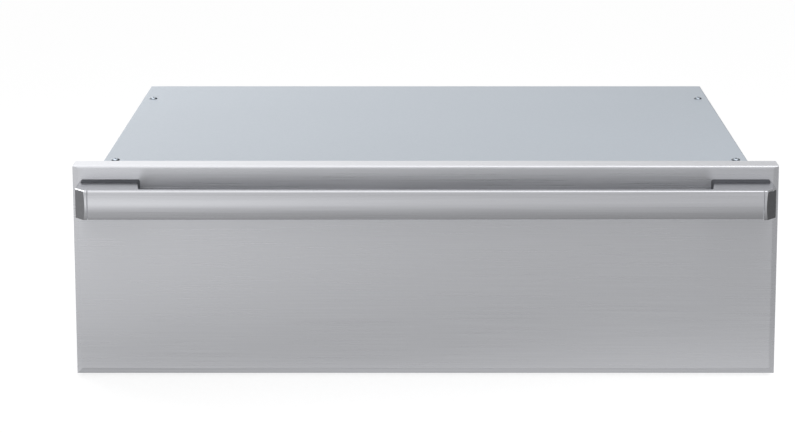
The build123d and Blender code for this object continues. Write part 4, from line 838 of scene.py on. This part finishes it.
# corners and level of the floor, which is just under the feet so that no face lies in its plane
FLOOR_SHEET = ((-12.0, -12.0), (12.0, 12.0), -0.5 * MM)
DOME_RADIUS = 80.0  # so far that a reflection depends on its direction alone
DOME_SEAM = 0.2  # front and rear surroundings blend where a direction's Y is within this
DOME_SIDES = (0.5, 0.85)  # and both give way to the sides between these lengths of its X
# mirrored surroundings in front, behind and at the sides: elevations in degrees and brightness
GLOWS = {
    "front": (
        (-88, 1.0), (-75, 1.0), (-50, 0.36), (-40, 0.35), (-27, 0.46), (-15, 0.69),
        (-7, 0.84), (0, 0.84), (8, 0.62), (15, 0.60), (60, 0.95),
    ),
    "rear": ((-60, 0.60), (-30, 0.75), (-13, 0.90), (0, 0.90), (13, 0.92), (40, 0.95), (89, 1.0)),
    "side": ((-80, 0.18), (10, 0.215), (32, 0.24), (60, 0.9), (89, 1.1)),
}
# how far along a unit direction's X each changes, and its shares at the left and the right end
TILTS = {"front": (0.3, 1.3, 0.8), "rear": (0.3, 1.87, 0.45), "side": (1.0, 1.45, 0.55)}
# azimuth, elevation and reach in degrees, and strength, of each lighter or darker patch
SKY_PATCHES = (
    (-15, -4, 16, 0.26),
    (-12, 36, 20, 0.5),
    (90, 70, 28, 1.2),
    (16, -12, 14, -0.05),
    (14, 14, 12, 0.3),
)
PATCH_SHEET = ((-1.2, -2.1), (1.2, -0.24), 1 * MM)  # corners and level of the sheet with patches
# middle, reach along X and Y and strength of each patch that lightens or dims the mirrored floor
FLOOR_PATCHES = (
    ((0.42, -0.33), (0.45, 0.14), 0.20),
    ((-0.30, -0.42), (0.60, 0.22), -0.38),
    ((0.2, -0.52), (0.60, 0.12), -0.38),
    ((0.0, -0.28), (0.60, 0.03), 0.15),
    ((-0.42, -1.55), (0.6, 0.5), 0.38),
)


def seen_rays(tree):
    """1 for rays that show the surroundings, straight or mirrored, and 0 for light."""
    rays = add(tree, "ShaderNodeLightPath").outputs
    seen = rays["Is Camera Ray"]
    for ray in ("Is Glossy Ray", "Is Transmission Ray"):
        seen = add(tree, "ShaderNodeMath", {0: seen, 1: rays[ray]}, operation="MAXIMUM")
    return seen


def level_sheet(name, low, high, level):
    """A level rectangle between two corners."""
    mesh = bpy.data.meshes.new(name)
    corners = [(low[0], low[1]), (high[0], low[1]), (high[0], high[1]), (low[0], high[1])]
    mesh.from_pydata([(x, y, level) for x, y in corners], [], [(0, 1, 2, 3)])
    return mesh


def stage_material(name):
    """An empty material and its tree, for something that isn't part of the drawer."""
    material = bpy.data.materials.new(name)
    material.use_nodes = True
    material.node_tree.nodes.clear()
    return material, material.node_tree


class DRAWER_OT_studio(PieceOperator, bpy.types.Operator):
    """Set up the pale floor, the soft lights, the mirrored surroundings and the camera."""

    bl_idname = "drawer.studio"
    bl_label = "Studio"

    def execute(self, context):
        studio = context.scene.drawer_studio
        self.lay_floor(studio)
        self.light_world(context.scene, studio)
        self.raise_dome()
        self.lay_floor_patches()
        for lamp in LAMPS:
            self.hang_light(*lamp)
        self.place_camera(context.scene, studio)
        context.scene.view_settings.view_transform = "Standard"
        return {"FINISHED"}

    def lay_floor(self, studio):
        """A wide pale floor that looks white and keeps a soft shadow."""
        mesh = level_sheet("floor", *FLOOR_SHEET)
        material, tree = stage_material("Studio floor")
        plain = add(tree, "ShaderNodeBsdfDiffuse", {"Color": studio.floor})
        soft = add(tree, "ShaderNodeBsdfDiffuse", {"Color": shade(studio.floor, studio.shadow)})
        glow = add(tree, "ShaderNodeEmission", {"Strength": studio.white})
        pale = add(tree, "ShaderNodeAddShader", {0: soft, 1: glow})
        mixed = add(tree, "ShaderNodeMixShader", {0: seen_rays(tree), 1: plain, 2: pale})
        add(tree, "ShaderNodeOutputMaterial", {"Surface": mixed})
        mesh.materials.append(material)
        floor = placed("floor", mesh)
        floor.visible_glossy = False  # the dome stands in for it there, down to its lowest point

    def light_world(self, scene, studio):
        """Even pale light, a little weaker from below; plain white where it is seen or mirrored."""
        scene.world = bpy.data.worlds.new("Studio")
        scene.world.use_nodes = True
        tree = scene.world.node_tree
        tree.nodes.clear()
        direction = add(tree, "ShaderNodeTexCoord").outputs["Generated"]
        rise = add(tree, "ShaderNodeSeparateXYZ", {"Vector": direction}).outputs["Z"]
        below, above = 0.3, 1.25  # shares of its strength
        limits = {"Value": rise, "From Min": -0.1, "To Min": below, "To Max": above}
        sky = add(tree, "ShaderNodeMapRange", limits)
        light = add(tree, "ShaderNodeMath", {0: sky, 1: studio.world}, operation="MULTIPLY")
        limits = {"Value": seen_rays(tree), "To Min": light, "To Max": 1.0}
        strength = add(tree, "ShaderNodeMapRange", limits)
        inputs = {"Color": (1.0, 1.0, 1.0, 1.0), "Strength": strength}
        even = add(tree, "ShaderNodeBackground", inputs)
        add(tree, "ShaderNodeOutputWorld", {"Surface": even})

    def raise_dome(self):
        """Far surroundings that only mirror-like surfaces see and that shape the reflections."""
        shell = bmesh.new()
        bmesh.ops.create_uvsphere(shell, u_segments=48, v_segments=24, radius=DOME_RADIUS)
        mesh = bpy.data.meshes.new("dome")
        shell.to_mesh(mesh)
        shell.free()
        material, tree = stage_material("Dome")
        place = add(tree, "ShaderNodeTexCoord").outputs["Object"]
        direction = add(tree, "ShaderNodeVectorMath", {0: place}, operation="NORMALIZE")
        axes = add(tree, "ShaderNodeSeparateXYZ", {"Vector": direction}).outputs
        rise = add(tree, "ShaderNodeMath", {0: axes["Z"]}, operation="ARCSINE")
        limits = {"Value": rise, "From Min": -math.pi / 2, "From Max": math.pi / 2}
        rise = add(tree, "ShaderNodeMapRange", limits)
        glows = {}
        for side, table in GLOWS.items():
            ramp = add(tree, "ShaderNodeValToRGB", {"Fac": rise})
            stops = ramp.color_ramp.elements
            stops.remove(stops[0])
            stops[0].position = 1.0
            for angle, strength in table:
                stops.new((angle + 90) / 180).color = (strength, strength, strength, 1.0)
            stops[-1].color = stops[-2].color
            reach, left, right = TILTS[side]
            limits = {"Value": axes["X"], "From Min": -reach, "From Max": reach}
            tilt = add(tree, "ShaderNodeMapRange", limits | {"To Min": left, "To Max": right})
            glows[side] = add(tree, "ShaderNodeMath", {0: ramp, 1: tilt}, operation="MULTIPLY")
        limits = {"Value": axes["Y"], "From Min": -DOME_SEAM, "From Max": DOME_SEAM}
        share = add(tree, "ShaderNodeMapRange", limits)
        total = add(tree, "ShaderNodeMix", {0: share, 2: glows["front"], 3: glows["rear"]})
        wide = add(tree, "ShaderNodeMath", {0: axes["X"]}, operation="ABSOLUTE")
        limits = {"Value": wide, "From Min": DOME_SIDES[0], "From Max": DOME_SIDES[1]}
        share = add(tree, "ShaderNodeMapRange", limits, interpolation_type="SMOOTHSTEP")
        total = add(tree, "ShaderNodeMix", {0: share, 2: total, 3: glows["side"]})
        for azimuth, elevation, reach, strength in SKY_PATCHES:
            flat, up = math.radians(azimuth), math.radians(elevation)
            centre = (math.sin(flat) * math.cos(up), -math.cos(flat) * math.cos(up), math.sin(up))
            inputs, edge = {0: direction, 1: centre}, math.cos(math.radians(reach))
            near = add(tree, "ShaderNodeVectorMath", inputs, operation="DOT_PRODUCT")
            limits = {"Value": near, "From Min": edge, "To Max": strength}
            glow = add(tree, "ShaderNodeMapRange", limits, interpolation_type="SMOOTHSTEP")
            total = add(tree, "ShaderNodeMath", {0: total, 1: glow}, operation="ADD")
        glow = add(tree, "ShaderNodeEmission", {"Strength": total})
        add(tree, "ShaderNodeOutputMaterial", {"Surface": glow})
        self.mirror_only("dome", mesh, material)

    def lay_floor_patches(self):
        """Soft lighter and darker patches on the floor that only mirror-like surfaces see."""
        mesh = level_sheet("floor_patches", *PATCH_SHEET)
        material, tree = stage_material("Floor patches")
        place = add(tree, "ShaderNodeTexCoord").outputs["Object"]
        light, kept = 0.0, 1.0
        for (x, y), (wide, deep), strength in FLOOR_PATCHES:
            inputs = {"Location": (-x / wide, -y / deep, 0.0), "Scale": (1 / wide, 1 / deep, 0.0)}
            near = add(tree, "ShaderNodeMapping", {"Vector": place} | inputs)
            far = add(tree, "ShaderNodeVectorMath", {0: near}, operation="LENGTH")
            limits = {"Value": far, "To Min": strength, "To Max": 0.0}
            glow = add(tree, "ShaderNodeMapRange", limits, interpolation_type="SMOOTHSTEP")
            if strength > 0:
                light = add(tree, "ShaderNodeMath", {0: light, 1: glow}, operation="ADD")
            else:
                kept = add(tree, "ShaderNodeMath", {0: kept, 1: glow}, operation="ADD")
        glow = add(tree, "ShaderNodeEmission", {"Strength": light})
        through = add(tree, "ShaderNodeBsdfTransparent", {"Color": kept})
        sheet = add(tree, "ShaderNodeAddShader", {0: glow, 1: through})
        add(tree, "ShaderNodeOutputMaterial", {"Surface": sheet})
        self.mirror_only("floor_patches", mesh, material)

    def mirror_only(self, name, mesh, material):
        """Stands something on the stage that is only seen in reflections."""
        mesh.materials.append(material)
        material.cycles.emission_sampling = "NONE"
        piece = placed(name, mesh)
        for kind in ("camera", "diffuse", "transmission", "volume_scatter", "shadow"):
            setattr(piece, "visible_" + kind, False)

    def hang_light(self, name, place, target, size, power):
        """A rectangular softbox that faces its target."""
        light = bpy.data.lights.new(name, "AREA")
        light.shape = "RECTANGLE"
        light.size, light.size_y = size
        light.energy = power
        lamp = placed(name, light)
        lamp.location = place
        lamp.rotation_euler = (Vector(target) - Vector(place)).to_track_quat("-Z", "Y").to_euler()
        lamp.visible_camera = False

    def place_camera(self, scene, studio):
        """The camera as the photograph's perspective gives it."""
        camera = bpy.data.cameras.new("Camera")
        camera.lens = studio.lens
        camera.shift_x, camera.shift_y = studio.shift
        scene.camera = placed("Camera", camera)
        scene.camera.location = studio.place
        scene.camera.rotation_euler = (math.pi / 2 - studio.tilt, 0.0, 0.0)


OPERATORS = PieceOperator.__subclasses__()  # in the order in which they are written
GROUPS = {
    "drawer_finishes": DrawerFinishes,
    "drawer_sizes": DrawerSizes,
    "drawer_studio": StudioSettings,
}


class DRAWER_PT_panel(bpy.types.Panel):
    """The add-on's buttons and settings."""

    bl_idname = "DRAWER_PT_panel"
    bl_label = "Warming drawer"
    bl_space_type = "VIEW_3D"
    bl_region_type = "UI"
    bl_category = "Warming drawer"

    def draw(self, context):
        column = self.layout.column()
        for operator in OPERATORS:
            column.operator(operator.bl_idname)
        for group in GROUPS:
            settings = getattr(context.scene, group)
            for name in settings.__annotations__:
                column.prop(settings, name)


def register():
    """Makes the add-on's classes and settings known."""
    for name, group in GROUPS.items():
        bpy.utils.register_class(group)
        setattr(bpy.types.Scene, name, bpy.props.PointerProperty(type=group))
    for entry in (*OPERATORS, DRAWER_PT_panel):
        bpy.utils.register_class(entry)


def unregister():
    """Takes them out again."""
    for entry in reversed((*OPERATORS, DRAWER_PT_panel)):
        bpy.utils.unregister_class(entry)
    for name, group in reversed(GROUPS.items()):
        delattr(bpy.types.Scene, name)
        bpy.utils.unregister_class(group)


def main():
    """Builds the looks in order."""
    register()
    for operator in OPERATORS:
        getattr(bpy.ops.drawer, operator.bl_idname.removeprefix("drawer."))()


if __name__ == "__main__":
    main()
